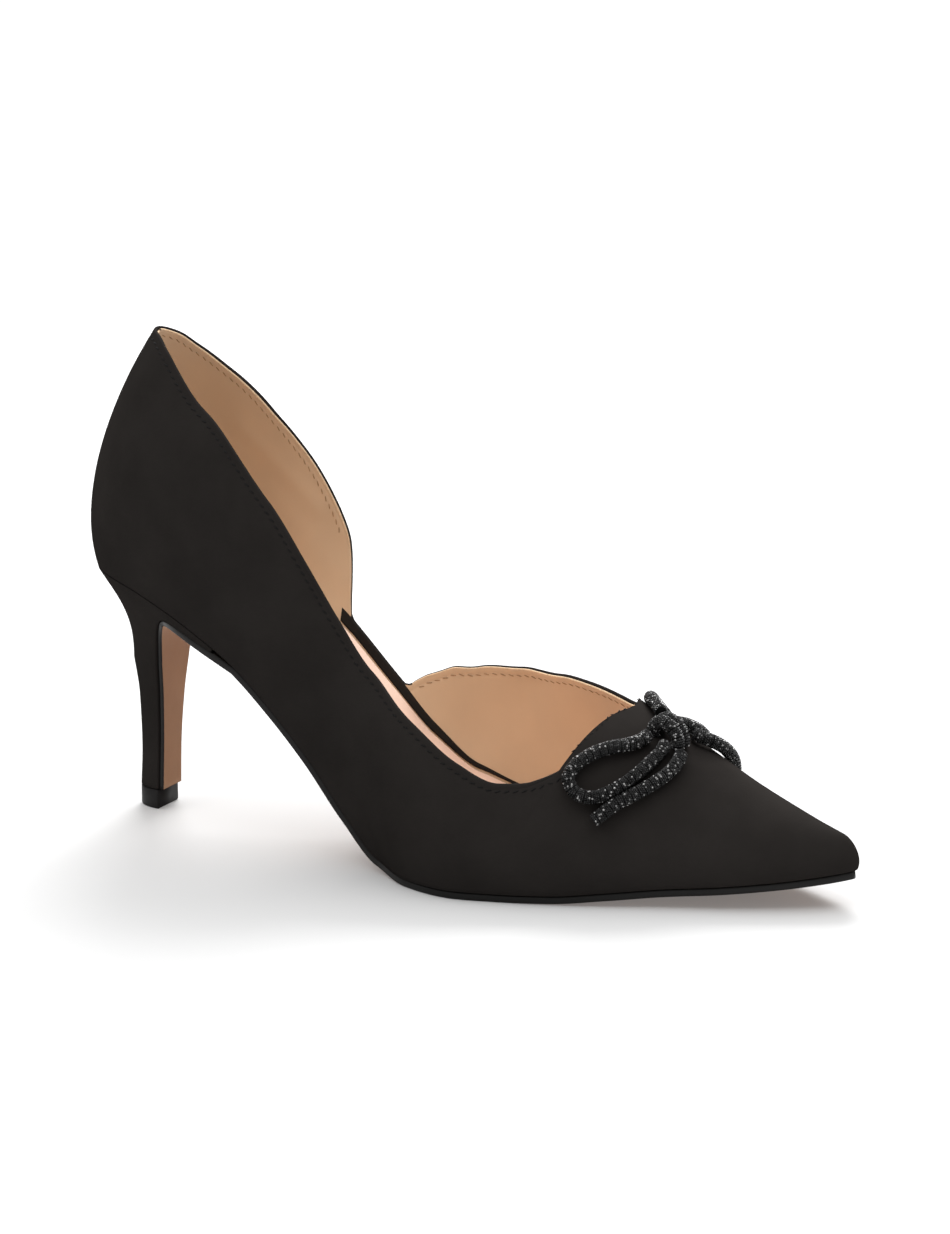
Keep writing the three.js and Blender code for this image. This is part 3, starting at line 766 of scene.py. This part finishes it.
def wall_lines(side):
    """Rows and shares of the wall's grid, and the number of open lines."""
    open_row, open_up = topline_line(side)
    shut_row, shut_up = crest_line()
    top_row = np.concatenate([open_row, shut_row[1:]])
    top_up = np.concatenate([open_up, shut_up[1:]])
    foot = row_at(look_up(LEAN, "foot", outline(top_row, "at")))
    foot = smooth_ends_kept(foot, int(LEAN_SPREAD / LINE_STEP / 2))
    climb = 1 - np.linspace(1, 0, WALL_STEPS + 1) ** RIM_CROWD
    row = mix(foot[:, None], top_row[:, None], climb[None, :])
    up = top_up[:, None] * climb[None, :]
    return {"row": row, "up": up, "open": len(open_row)}


def rim_direction(top, below, normal, side, count):
    """Square to the topline in the wall's face, pointing out of the wall."""
    along = np.gradient(top[:count], axis=0)
    along[0] = (0, side, 0)
    along[-1] = (0, side, 0)
    out = unit(np.cross(along, normal[:count]))
    flip = np.sum(out * (top[:count] - below[:count]), axis=1) < 0
    out[flip] *= -1
    for axis in range(3):
        out[:, axis] = smooth_ends_kept(out[:, axis], RIM_SMOOTH)
    return unit(out)


def wall_patches(side, near, far, drop, crease, fold):
    """The outside, inside, rim and foot of one side of a layer of the upper, near to far under the skin."""
    lines = WALLS[side]
    count = lines["open"]
    point, normal = lines["point"], lines["normal"]
    half = (far - near) / 2
    out = lines["rim"]
    lowered = point.copy()
    fade = np.clip(1 - lines["depth"][:count] / (RIM_FADE * (half + drop)), 0, 1)[..., None]
    lowered[:count] -= out[:, None, :] * (half + drop) * fade
    outside = lowered - normal * near
    if crease is not None:
        outside = outside + normal * crease(lowered, lines["depth"], side)[..., None]
    inside = lowered - normal * far
    if fold is not None:
        inside = inside + normal * fold(lowered, lines["depth"], side)[..., None]
    middle = (outside[:count, -1] + inside[:count, -1]) / 2
    face = unit(outside[:count, -1] - inside[:count, -1])
    turn = np.linspace(0, math.pi, RIM_STEPS + 1)
    ring = face[:, None] * np.cos(turn)[None, :, None] + out[:, None] * np.sin(turn)[None, :, None]
    rim = middle[:, None] + ring * half
    foot = np.stack([outside[:, 0], inside[:, 0]], axis=1)
    return outside, inside, rim, foot


def prepare_wall(side):
    lines = wall_lines(side)
    lines["point"] = skin(lines["row"], side, lines["up"])
    lines["normal"] = skin_normal(lines["row"], side, lines["up"])
    lines["normal"][:, 0] = outward(lines["row"][:, 0], side)
    steps = np.linalg.norm(np.diff(lines["point"], axis=1), axis=2)
    depth = np.cumsum(steps[:, ::-1], axis=1)[:, ::-1]
    lines["depth"] = np.concatenate([depth, np.zeros((len(depth), 1))], axis=1)
    top, below = lines["point"][:, -1], lines["point"][:, -3]
    lines["rim"] = rim_direction(top, below, lines["normal"][:, -1], side, lines["open"])
    return lines


WALLS = {side: prepare_wall(side) for side in (OUTER, INNER)}


# The open arch's low rim, where satin covers the lining's edge too
ARCH_FROM, ARCH_TO = 0.283, 0.366
SEAM_BREAK = (0.277, 0.37)  # no stitches between these


def layer_patches(near, far, drops, crease=None, fold=None, rim_finish=0, arch_finish=0):
    patches = []
    for side in (OUTER, INNER):
        grids = wall_patches(side, near, far, drops[side], crease, fold)
        for kind, grid in zip(("outside", "inside", "rim", "foot"), grids):
            faces = quads(grid.shape[0], grid.shape[1])
            if kind != "rim":
                patches.append((grid, faces, 0))
                continue
            at = outline(WALLS[side]["row"][:, -1], "at")[faces[:, 0] // grid.shape[1]]
            arch = (at > ARCH_FROM) & (at < ARCH_TO) & (side == INNER)
            patches += [(grid, faces[arch], arch_finish), (grid, faces[~arch], rim_finish)]
    return patches


# Soft undulations of the satin: side, two ends in the side view, half-width, depth
CREASES = [
    (OUTER, (8, 112), (22, 96), 7, 0.22),
    (OUTER, (26, 100), (44, 78), 9, 0.25),
    (OUTER, (2, 92), (14, 84), 10, -0.2),
    (OUTER, (42, 62), (70, 46), 8, 0.18),
    (OUTER, (70, 42), (92, 22), 9, -0.18),
    (OUTER, (96, 24), (128, 16), 8, 0.14),
    (OUTER, (118, 12), (160, 10), 6, -0.14),
    (OUTER, (150, 26), (186, 16), 7, 0.12),
    (INNER, (6, 108), (20, 88), 8, 0.2),
    (INNER, (24, 84), (40, 72), 8, -0.2),
    (INNER, (110, 26), (140, 18), 8, 0.16),
    (INNER, (140, 12), (176, 12), 7, -0.14),
]


# Folds of the lining's inner face, in the same columns
LINING_FOLDS = [
    (INNER, (-6, 118), (12, 100), 3.5, 0.45),
    (INNER, (2, 104), (20, 94), 4.5, -0.3),
    (INNER, (18, 108), (40, 86), 3.0, 0.35),
    (INNER, (30, 84), (48, 66), 5, 0.3),
    (INNER, (84, 22), (104, 40), 7, -0.3),
    (INNER, (112, 16), (132, 34), 7, 0.3),
    (OUTER, (90, 20), (120, 14), 6, 0.25),
]
FOLD_LIMITS = (-0.5, 0.45)  # a fold sinks into the wall as far as the lining is thick
CALM_RIM, SATIN_CALM, LINING_CALM = 1.0, 6.0, 5.0  # depths between which the creases fade in


def creased(points, creases, side):
    total = np.zeros(points.shape[:-1])
    flat = points[..., [0, 2]]
    for where, start, end, width, dip in creases:
        if where != side:
            continue
        start, end = np.array(start, dtype=float), np.array(end, dtype=float)
        along = end - start
        share = np.clip(((flat - start) @ along) / (along @ along), 0, 1)
        away = np.linalg.norm(flat - (start + share[..., None] * along), axis=-1)
        total -= dip * np.exp(-(away / width) ** 2)
    return total


def seam_groove(points, depth):
    """1 on the line of stitches, behind the throat only."""
    return np.exp(-((depth - STITCH_INSET) / SEAM_WIDTH) ** 2) * (points[..., 0] < THROAT_X)


def satin_crease(points, depth, side):
    """Depth of the listed troughs and ridges, soft at the topline and the sole."""
    total = creased(points, CREASES, side)
    return total * smoothstep(depth, CALM_RIM, SATIN_CALM) - SATIN_SEAM * seam_groove(points, depth)


def lining_fold(points, depth, side):
    total = np.clip(creased(points, LINING_FOLDS, side), *FOLD_LIMITS)
    return total * smoothstep(depth, CALM_RIM, LINING_CALM) + LINING_SEAM * seam_groove(points, depth)


def make_upper():
    satin = make_piece("upper_satin", layer_patches(0, SATIN, SATIN_DROP, satin_crease), [SATIN_CLOTH])
    place(satin, "satin", "upper")
    lining_near = SATIN + LINING_GAP
    patches = layer_patches(lining_near, WALL, LINING_DROP, fold=lining_fold, rim_finish=1, arch_finish=2)
    lining = make_piece("upper_lining", patches, [LINING, LINING_RIM, SATIN_CLOTH])
    place(lining, "sock", "upper")
    return satin, lining


# The strip of satin over the lining's foot, inside the open arch
FACING_STEPS = 5
FACING_LINES = 240
FACING_FOOT = -0.3  # its lower edge under the insole's top, share of its height
FACING_PROUD, FACING_DEEP = 0.12, 0.2  # in and out of the lining's face
RIM_CLEARANCE = 0.35
FACING = columns("at height", [
    (0.274, 3.0),
    (0.36, 2.9),
    (0.4, 2.3),
    (0.44, 1.3),
    (0.48, 0.8),
    (0.53, 0.55),
    (0.6, 0.2),
])


def make_facing():
    at = np.linspace(FACING["at"][0], FACING["at"][-1], FACING_LINES)
    row = row_at(at)
    room = COLLAR_HEIGHT * look_up(TOPLINES[INNER], "top", at) - INSOLE - RIM_CLEARANCE
    height = np.minimum(look_up(FACING, "height", at), room)
    proud, deep = [], []
    for step in np.linspace(FACING_FOOT, 1, FACING_STEPS + 1):
        up = share_at_height(row, INNER, INSOLE + height * step)
        point, normal = skin(row, INNER, up), skin_normal(row, INNER, up)
        proud.append(point - normal * (WALL + (FACING_PROUD if step < 1 else 0)))
        deep.append(point - normal * (WALL - FACING_DEEP))
    ring = np.stack(proud + deep[::-1], axis=1)
    count = ring.shape[1]
    faces = quads(*ring.shape[:2], closed=True).tolist()
    faces += [list(range(count)), list(range((len(ring) - 1) * count, len(ring) * count))]
    piece = make_piece("arch_facing", [(ring, faces, 0)], [SATIN_CLOTH])
    place(piece, "satin")


# Stitches along the topline
def capsule(sides=8, rings=5):
    """A unit rod along X with round ends, as points and faces."""
    turn = np.linspace(0, math.pi, rings + 1)
    around = np.linspace(0, 2 * math.pi, sides, endpoint=False)
    x = -np.cos(turn)[:, None] * np.ones(sides)[None, :]
    radius = np.sin(turn) ** END_FULLNESS
    y = radius[:, None] * np.cos(around)[None, :]
    z = radius[:, None] * np.sin(around)[None, :]
    return np.stack([x, y, z], axis=-1).reshape(-1, 3), quads(rings + 1, sides, closed=True)


def surface_tree(piece):
    mesh = piece.data
    corners = [tuple(np.array(v.co) / MM - ORIGIN) for v in mesh.vertices]
    return BVHTree.FromPolygons(corners, [tuple(p.vertices) for p in mesh.polygons])


def seam_line(side, layer_offset, tree):
    """Points and normals on a surface, a stitch's inset from the topline."""
    lines = WALLS[side]
    count = lines["open"]
    start = lines["point"][:count, -1] - lines["rim"] * STITCH_INSET
    start = start - lines["normal"][:count, -1] * layer_offset
    points, normals = [], []
    for corner in start:
        spot, normal, _, _ = tree.find_nearest(Vector(corner))
        points.append(spot)
        normals.append(normal)
    points, normals = np.array(points), np.array(normals)
    run = length_along(points)
    middles = np.arange(STITCH_PITCH, run[-1] - THROAT_CLEAR, STITCH_PITCH)
    share = outline(np.interp(middles, run, lines["row"][:count, -1]), "at")
    if side == INNER:
        middles = middles[(share < SEAM_BREAK[0]) | (share > SEAM_BREAK[1])]
    here = points_at(middles, run, points)
    ahead = points_at(middles + LOOK_AHEAD, run, points)
    face = unit(points_at(middles, run, normals))
    return here, unit(ahead - here), face


def stitch_patches(seams, slant):
    shape, faces = capsule()
    patches = []
    for middles, along, face in seams:
        across = unit(np.cross(face, along))
        for middle, x, y, z in zip(middles, along, across, face):
            x_turned = x * math.cos(slant) + y * math.sin(slant)
            y_turned = y * math.cos(slant) - x * math.sin(slant)
            local = shape * (STITCH_LENGTH / 2, THREAD / 2, THREAD / 2)
            world = local[:, :1] * x_turned + local[:, 1:2] * y_turned + local[:, 2:] * z
            patches.append((world + middle + z * THREAD * THREAD_LIFT, faces, 0))
    return patches


def make_stitches(satin, lining):
    outside = surface_tree(satin)
    inside = surface_tree(lining)
    black = stitch_patches([seam_line(side, 0, outside) for side in (OUTER, INNER)], BLACK_SLANT)
    piece = make_piece("topline_stitches", black, [BLACK_THREAD], weld=0)
    place(piece, "satin")
    tan = stitch_patches([seam_line(side, WALL, inside) for side in (OUTER, INNER)], TAN_SLANT)
    piece = make_piece("lining_stitches", tan, [TAN_THREAD_PAINTED_SHADE], weld=0)
    place(piece, "sock")


# The insole and the outsole: sections across the sole
SOLE_LINES = 260
ACROSS_STEPS = 24
CORNER_STEPS = 4
CORNER_LIMIT = 2.01  # a corner's radius stays just under half of the layer
SOLE_CROWD = 0.5  # how far the sections crowd at both ends


def rounded_rings(outer, inner, normal, low, high, radius, crown=0.0):
    """Closed cross-sections of a flat layer between two edge lines, with rounded corners."""
    width = np.maximum(np.linalg.norm(inner - outer, axis=1), 1e-6)[:, None]
    radius = np.minimum(radius, np.minimum(width[:, 0], high - low) / CORNER_LIMIT)[:, None]
    low, high = (np.broadcast_to(height, len(outer))[:, None] for height in (low, high))
    inward = (inner - outer) / width
    turn = np.linspace(0, math.pi / 2, CORNER_STEPS + 1)
    level = np.linspace(-1, 1, ACROSS_STEPS + 1)[1:-1]

    def corner(start, sign, base, lift_sign, angles):
        for angle in angles:
            flat = start + sign * inward * radius * (1 - math.sin(angle))
            yield flat + normal * (base - lift_sign * radius * (1 - math.cos(angle)))

    def flat_run(base, shares, bend):
        for share in shares:
            reach = (1 + share * (1 - 2 * radius / width)) / 2
            yield mix(outer, inner, reach) + normal * (base + bend * (1 - share * share))

    ring = [
        *corner(outer, 1, high, 1, turn[::-1]),
        *flat_run(high, level, crown),
        *corner(inner, -1, high, 1, turn),
        *corner(inner, -1, low, -1, turn[::-1]),
        *flat_run(low, level[::-1], 0),
        *corner(outer, 1, low, -1, turn),
    ]
    return np.stack(ring, axis=1)


def sole_edges(row, inset):
    return [edge(row, side) - outward(row, side) * inset for side in (OUTER, INNER)]


def sole_rows(first=0.0):
    spread = np.linspace(0, 1, SOLE_LINES)
    at = (1 - np.cos(math.pi * spread)) / 2
    at = mix(spread, at, SOLE_CROWD)
    return row_at(mix(first, 1.0, at))


def make_insole():
    rows = sole_rows()
    rows[0], rows[-1] = 0, LAST_ROW
    edges = sole_edges(rows, WALL + SOCK_GAP)
    rings = rounded_rings(*edges, sole_normal(rows), 0, INSOLE, SOCK_CORNER, SOCK_CROWN)
    piece = make_piece("sock_lining", [(rings, quads(*rings.shape[:2], closed=True), 0)], [SOCK])
    place(piece, "sock", "insole")


def shaft_point(turn, height):
    up = height / SHAFT_HEIGHT
    front = TIP_FRONT * look_up(SHAFT, "front", up)
    back = -TIP_BACK * look_up(SHAFT, "back", up)
    angle = math.pi * turn
    half = TIP_HALF * look_up(SHAFT, "half", up)
    return stack(mix(front, back, np.sin(angle)), -half * np.cos(angle), height)


def heel_curve(turn, steps):
    """A line up the heel's side, from above the top lift to the seat."""
    low = TOP_LIFT + GAP
    heights = np.linspace(low, SHAFT_HEIGHT, steps + 1)[:-1]
    shaft = shaft_point(np.full(steps, turn), heights)
    lean = math.cos(math.pi * turn)
    corner = lean * lean
    side = OUTER if turn < 0.5 else INNER
    row = row_at(BREAST_AT) * abs(lean)
    seat = edge(row, side) - sole_normal(row) * GAP
    if abs(lean) > 1 - 1e-9:
        seat = seat - sole_normal(row) * PLATE
    foot = shaft_point(turn, SHAFT_HEIGHT)
    handle = {name: mix(FLARE["back"][name], FLARE["corner"][name], corner) for name in FLARE["back"]}
    leave = foot + stack(handle["ahead"], -handle["inward"] * lean, handle["rise"])
    across = mix(seat[1], foot[1], handle["narrow"])
    arrive = stack(mix(seat[0], foot[0], handle["reach"]), across, seat[2] + handle["lift"])
    flare = bezier(foot, leave, arrive, seat, np.linspace(0, 1, 2 * steps + 1))
    return np.concatenate([shaft, flare])


HEEL_STEPS = 26
HEEL_TURNS = 48


def cap_faces(count, start):
    """Two strips that close a ring of points, folded flat."""
    end = start + count - 1
    return [[start + j, start + j + 1, end - 1 - j, end - j] for j in range(count // 2 - 1)]


def capped(rings):
    """Faces round a stack of closed rings, with both ends shut."""
    count = rings.shape[1]
    faces = quads(*rings.shape[:2], closed=True).tolist()
    return faces + cap_faces(count, 0) + cap_faces(count, (len(rings) - 1) * count)


def make_heel():
    turns = np.linspace(0, 1, HEEL_TURNS + 1)
    rings = np.stack([heel_curve(turn, HEEL_STEPS) for turn in turns], axis=1)
    top = rings[-1].copy()
    row = row_at(BREAST_AT)
    for i, side in ((0, OUTER), (-1, INNER)):
        top[i] = edge(row, side) - sole_normal(row) * GAP
    rings = np.concatenate([rings, top[None]])
    piece = make_piece("heel_cover", [(rings, capped(rings), 0)], [SATIN_CLOTH])
    place(piece, "satin", "heel")


# Height and inset of the top lift's sections, with its lower and upper edges eased
LIFT_LEVELS = [(0.0, 0.5), (0.15, 0.15), (0.5, 0.0), (TOP_LIFT - 0.3, 0.0), (TOP_LIFT, 0.3)]


def make_top_lift():
    turns = np.linspace(0, 1, HEEL_TURNS + 1)
    ring = shaft_point(turns, np.full(len(turns), TOP_LIFT + GAP))
    middle = ring.mean(axis=0)
    rings = []
    for height, inset in LIFT_LEVELS:
        level = ring - unit(ring - middle) * inset
        level[:, 2] = height
        rings.append(level)
    rings = np.stack(rings)
    piece = make_piece("heel_top_lift", [(rings, capped(rings), 0)], [RUBBER])
    place(piece, "lift_rubber", "top_lift")


def flap_rings():
    """The outsole down the heel's front, from the top lift to the seat."""
    outer, inner = heel_curve(0, HEEL_STEPS), heel_curve(1, HEEL_STEPS)
    slope = np.gradient(outer, axis=0)
    normal = unit(stack(-slope[:, 2], 0, slope[:, 0]))
    share = np.linspace(0, 1, len(outer))
    thickness = mix(FLAP, OUTSOLE, share ** 3)
    inset = mix(FLAP_INSET, EDGE_INSET, share)
    for line in (outer, inner):
        line[:, 1] -= np.sign(line[:, 1]) * inset
    return rounded_rings(outer, inner, normal, -GAP - thickness, -GAP * np.ones_like(share), FLAP_CORNER)


def make_outsole():
    rows = sole_rows(BREAST_AT + FLAP_BEND)
    rows[-1] = LAST_ROW
    run = rounded_rings(*sole_edges(rows, EDGE_INSET), sole_normal(rows), -GAP - OUTSOLE, -GAP, SOLE_CORNER)
    rings = np.concatenate([flap_rings(), run])
    count = rings.shape[1]
    faces = quads(*rings.shape[:2], closed=True)
    # The flat underside is the last run of each ring but one corner
    place_in_ring = np.tile(np.arange(count), len(rings) - 1)
    under_start = 3 * (CORNER_STEPS + 1) + ACROSS_STEPS - 1
    under = (place_in_ring >= under_start - 1) & (place_in_ring < count - CORNER_STEPS - 1)
    patches = [(rings, faces[under], 0), (rings, faces[~under], 1), (rings[:1], [list(range(count))], 1)]
    piece = make_piece("sole", patches, [SOLE_LEATHER, PAINTED_EDGE])
    place(piece, "sole_leather", "outsole")


# The bow
def laid_path(side, table):
    """The cord's centre line on the upper, evenly spaced."""
    row = row_at(table["at"])
    height = CORD / 2 + CORD_LIFT + table["lift"] * CORD
    knots = skin(row, side, table["up"]) + skin_normal(row, side, table["up"]) * height[:, None]
    return even_curve(knots)


def even_curve(knots):
    """Centripetal Catmull-Rom through the knots, evenly spaced."""
    ends = np.concatenate([[2 * knots[0] - knots[1]], knots, [2 * knots[-1] - knots[-2]]])
    points = []
    for i in range(1, len(ends) - 2):
        p = ends[i - 1:i + 3]
        t = np.concatenate([[0], np.cumsum(np.sqrt(np.linalg.norm(np.diff(p, axis=0), axis=1)))])
        for s in np.linspace(t[1], t[2], SPAN_STEPS, endpoint=False):
            a = [mix(p[k], p[k + 1], (s - t[k]) / (t[k + 1] - t[k])) for k in range(3)]
            b = [mix(a[k], a[k + 1], (s - t[k]) / (t[k + 2] - t[k])) for k in range(2)]
            points.append(mix(b[0], b[1], (s - t[1]) / (t[2] - t[1])))
    points.append(knots[-1])
    points = np.array(points)
    run = length_along(points)
    even = np.linspace(0, run[-1], int(run[-1] / PATH_STEP) + 1)
    return points_at(even, run, points)


def cord_frames(path):
    """Tangent and two directions across, carried along without twist."""
    along = unit(np.gradient(path, axis=0))
    across = [unit(np.cross(along[0], (0, 0, 1)))]
    for tangent in along[1:]:
        last = across[-1]
        across.append(unit(last - tangent * np.dot(last, tangent)))
    across = np.array(across)
    return along, across, np.cross(along, across)


def gem():
    """A small cut bead: a table facet, a crown and a base."""
    sides = 6
    levels = [(0.0, 0.55), (0.35, 1.0), (0.8, 0.62), (1.0, 0.34)]
    around = np.arange(sides) * 2 * math.pi / sides
    points = [(wide * math.cos(a), wide * math.sin(a), height) for height, wide in levels for a in around]
    faces = quads(len(levels), sides, closed=True).tolist()
    table = [(len(levels) - 1) * sides + i for i in range(sides)]
    faces += [[table[0], table[1], table[2], table[3]], [table[0], table[3], table[4], table[5]]]
    return np.array(points), faces


def bead_patches(path, radius, seed):
    """Rows of cut beads round a cord, each turned and sized a little by chance; a share take the pale finish
    of painted glints.
    """
    chance = random.Random(seed)
    along, across, up = cord_frames(path)
    run = length_along(path)
    around = int(round(2 * math.pi * radius / BEAD_PITCH))
    shape, faces = gem()
    patches = []
    for ring, distance in enumerate(np.arange(BEAD_PITCH / 2, run[-1], BEAD_PITCH * BEAD_ROWS)):
        i = min(int(round(distance / run[-1] * (len(path) - 1))), len(path) - 1)
        for k in range(around):
            angle = 2 * math.pi * (k + 0.5 * (ring % 2) + chance.uniform(-BEAD_SHIFT, BEAD_SHIFT)) / around
            out = across[i] * math.cos(angle) + up[i] * math.sin(angle)
            side = np.cross(along[i], out)
            tilt = chance.uniform(-BEAD_TILT, BEAD_TILT)
            axis = unit(out + along[i] * tilt + side * chance.uniform(-BEAD_TILT, BEAD_TILT))
            x = unit(along[i] - axis * np.dot(along[i], axis))
            y = np.cross(axis, x)
            size = BEAD_PITCH * 0.5 * chance.uniform(*BEAD_SIZES)
            local = shape * size
            world = local[:, :1] * x + local[:, 1:2] * y + local[:, 2:] * axis
            centre = path[i] + out * (radius - size * BEAD_SUNK)
            patches.append((world + centre, faces, 2 if chance.random() < PAINTED_GLINT_SHARE else 0))
    return patches


def tube_patch(path, radius):
    along, across, up = cord_frames(path)
    around = np.linspace(0, 2 * math.pi, TUBE_SIDES, endpoint=False)
    ring = across[:, None] * np.cos(around)[None, :, None] + up[:, None] * np.sin(around)[None, :, None]
    swell = np.full(len(path), radius)
    swell[0] = swell[-1] = radius * TUBE_END
    points = path[:, None] + ring * swell[:, None, None]
    faces = quads(*points.shape[:2], closed=True).tolist()
    faces.append(list(range(TUBE_SIDES)))
    faces.append(list(range((len(path) - 1) * TUBE_SIDES, len(path) * TUBE_SIDES)))
    return points, faces, 1


def cord_patches(path, seed):
    return bead_patches(path, CORD / 2, seed) + [tube_patch(path, CORD / 2 - TUBE_INSET)]


def make_cord(name, patches):
    piece = make_piece(name + "_beads", patches, [BEADS, NET, PAINTED_GLINTS], smooth=False, weld=0)
    place(piece, "beaded_cord", name)


def knot_path(offset):
    """One turn of the cord over the middle of the bow, from its back to its front."""
    low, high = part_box("bow_knot")
    low = np.array(low) / MM - ORIGIN
    high = np.array(high) / MM - ORIGIN
    middle = (low + high) / 2
    half = (high[0] - low[0]) / 2 - CORD / 2
    turn = np.linspace(*np.radians(KNOT_SWEEP), KNOT_POINTS)
    centre = mix(low[2], high[2], KNOT_MIDDLE)
    rise = high[2] - CORD / 2 - KNOT_CLEAR - centre
    x = middle[0] - half * np.cos(turn)
    z = centre + rise * np.sin(turn) - KNOT_SLOPE * (x - middle[0])
    y = middle[1] + offset + KNOT_TWIST * np.cos(turn)
    return even_curve(np.stack([x, y, z], axis=1))


def make_bow():
    for seed, (name, (side, table)) in enumerate(BOW.items()):
        make_cord(name, cord_patches(laid_path(side, table), seed))
    patches = []
    for turn, offset in enumerate(KNOT_OFFSETS):
        patches += cord_patches(knot_path(offset), KNOT_SEED + turn)
    make_cord("bow_knot", patches)


# Camera, floor and lights
PHOTO_ANGLES = (27.5, 14.6)
CAMERA_DISTANCE = 1200
CAMERA_TARGET = np.array([103.3, 0.0, 67.5])
LENS = 128.2
SENSOR_WIDTH = 36
CLIP_END = 20
FLOOR_REACH = 6.0
FLOOR_GLOW = 0.15
WORLD_STRENGTH = 0.40
KEY_POWER = 5
TOP_POWER = 200
BACK_POWER = 44


def make_camera():
    azimuth, elevation = (math.radians(angle) for angle in PHOTO_ANGLES)
    level = math.cos(elevation)
    back = Vector((math.sin(azimuth) * level, -math.cos(azimuth) * level, math.sin(elevation)))
    data = bpy.data.cameras.new("camera")
    data.lens = LENS
    data.sensor_width = SENSOR_WIDTH
    data.clip_end = CLIP_END
    camera = bpy.data.objects.new("camera", data)
    camera.location = Vector((CAMERA_TARGET + ORIGIN) * MM) + back * CAMERA_DISTANCE * MM
    camera.rotation_euler = back.to_track_quat("Z", "Y").to_euler()
    bpy.context.scene.collection.objects.link(camera)
    bpy.context.scene.camera = camera


def area_light(name, place_at, aim, size, power):
    data = bpy.data.lights.new(name, "AREA")
    data.shape = "RECTANGLE"
    data.size, data.size_y = size
    data.energy = power
    light = bpy.data.objects.new(name, data)
    light.location = place_at
    light.rotation_euler = (Vector(place_at) - Vector(aim)).to_track_quat("Z", "Y").to_euler()
    bpy.context.scene.collection.objects.link(light)


def make_stage():
    mesh = bpy.data.meshes.new("floor")
    corners = [(x * FLOOR_REACH, y * FLOOR_REACH, 0) for x, y in ((-1, -1), (1, -1), (1, 1), (-1, 1))]
    mesh.from_pydata(corners, [], [(0, 1, 2, 3)])
    floor = bpy.data.objects.new("floor", mesh)
    glow = {"Emission Color": (1, 1, 1, 1), "Emission Strength": FLOOR_GLOW}
    material = new_material("floor_white", (0.45, 0.45, 0.45), 0.9, glow)
    mesh.materials.append(material)
    bpy.context.scene.collection.objects.link(floor)
    world = bpy.data.worlds.new("studio")
    world.use_nodes = True
    world.node_tree.nodes["Background"].inputs["Color"].default_value = (1, 1, 1, 1)
    world.node_tree.nodes["Background"].inputs["Strength"].default_value = WORLD_STRENGTH
    bpy.context.scene.world = world
    bpy.context.scene.view_settings.view_transform = "Standard"
    area_light("key", (-0.7, -1.0, 1.4), (0, 0, 0.04), (0.9, 0.9), KEY_POWER)
    area_light("top", (-0.1, 1.0, 3.0), (-0.1, 1.0, 0), (5.0, 5.0), TOP_POWER)
    area_light("back", (-0.5, 1.3, 1.4), (0, 0, 0.03), (0.9, 0.9), BACK_POWER)


SATIN_CLOTH = satin_material()
LINING = lining_material()
LINING_RIM = lining_edge_material()
SOCK = sock_material()
SOLE_LEATHER = sole_material()
PAINTED_EDGE = painted_edge_material()
RUBBER = rubber_material()
BLACK_THREAD = thread_material("black_thread", (0.004, 0.004, 0.004))
# The lining's tan thread is darkened to stand for the shade in its stitch holes: painted shade over the
# thread's own tan.
TAN_THREAD_PAINTED_SHADE = thread_material("tan_thread_painted_shade", (0.34, 0.22, 0.13))
BEADS = bead_material("beads", (0.004, 0.004, 0.004), (0.02, 0.02, 0.02), 0.3)
# Pale grey beads: painted highlights that stand for glints off the facets
PAINTED_GLINTS = bead_material("painted_glint_beads", (0.10, 0.10, 0.10), (0.50, 0.49, 0.48), 0.8)
NET = net_material()

make_camera()
make_stage()
upper_satin, upper_lining = make_upper()
make_facing()
make_stitches(upper_satin, upper_lining)
make_insole()
make_outsole()
make_heel()
make_top_lift()
make_bow()
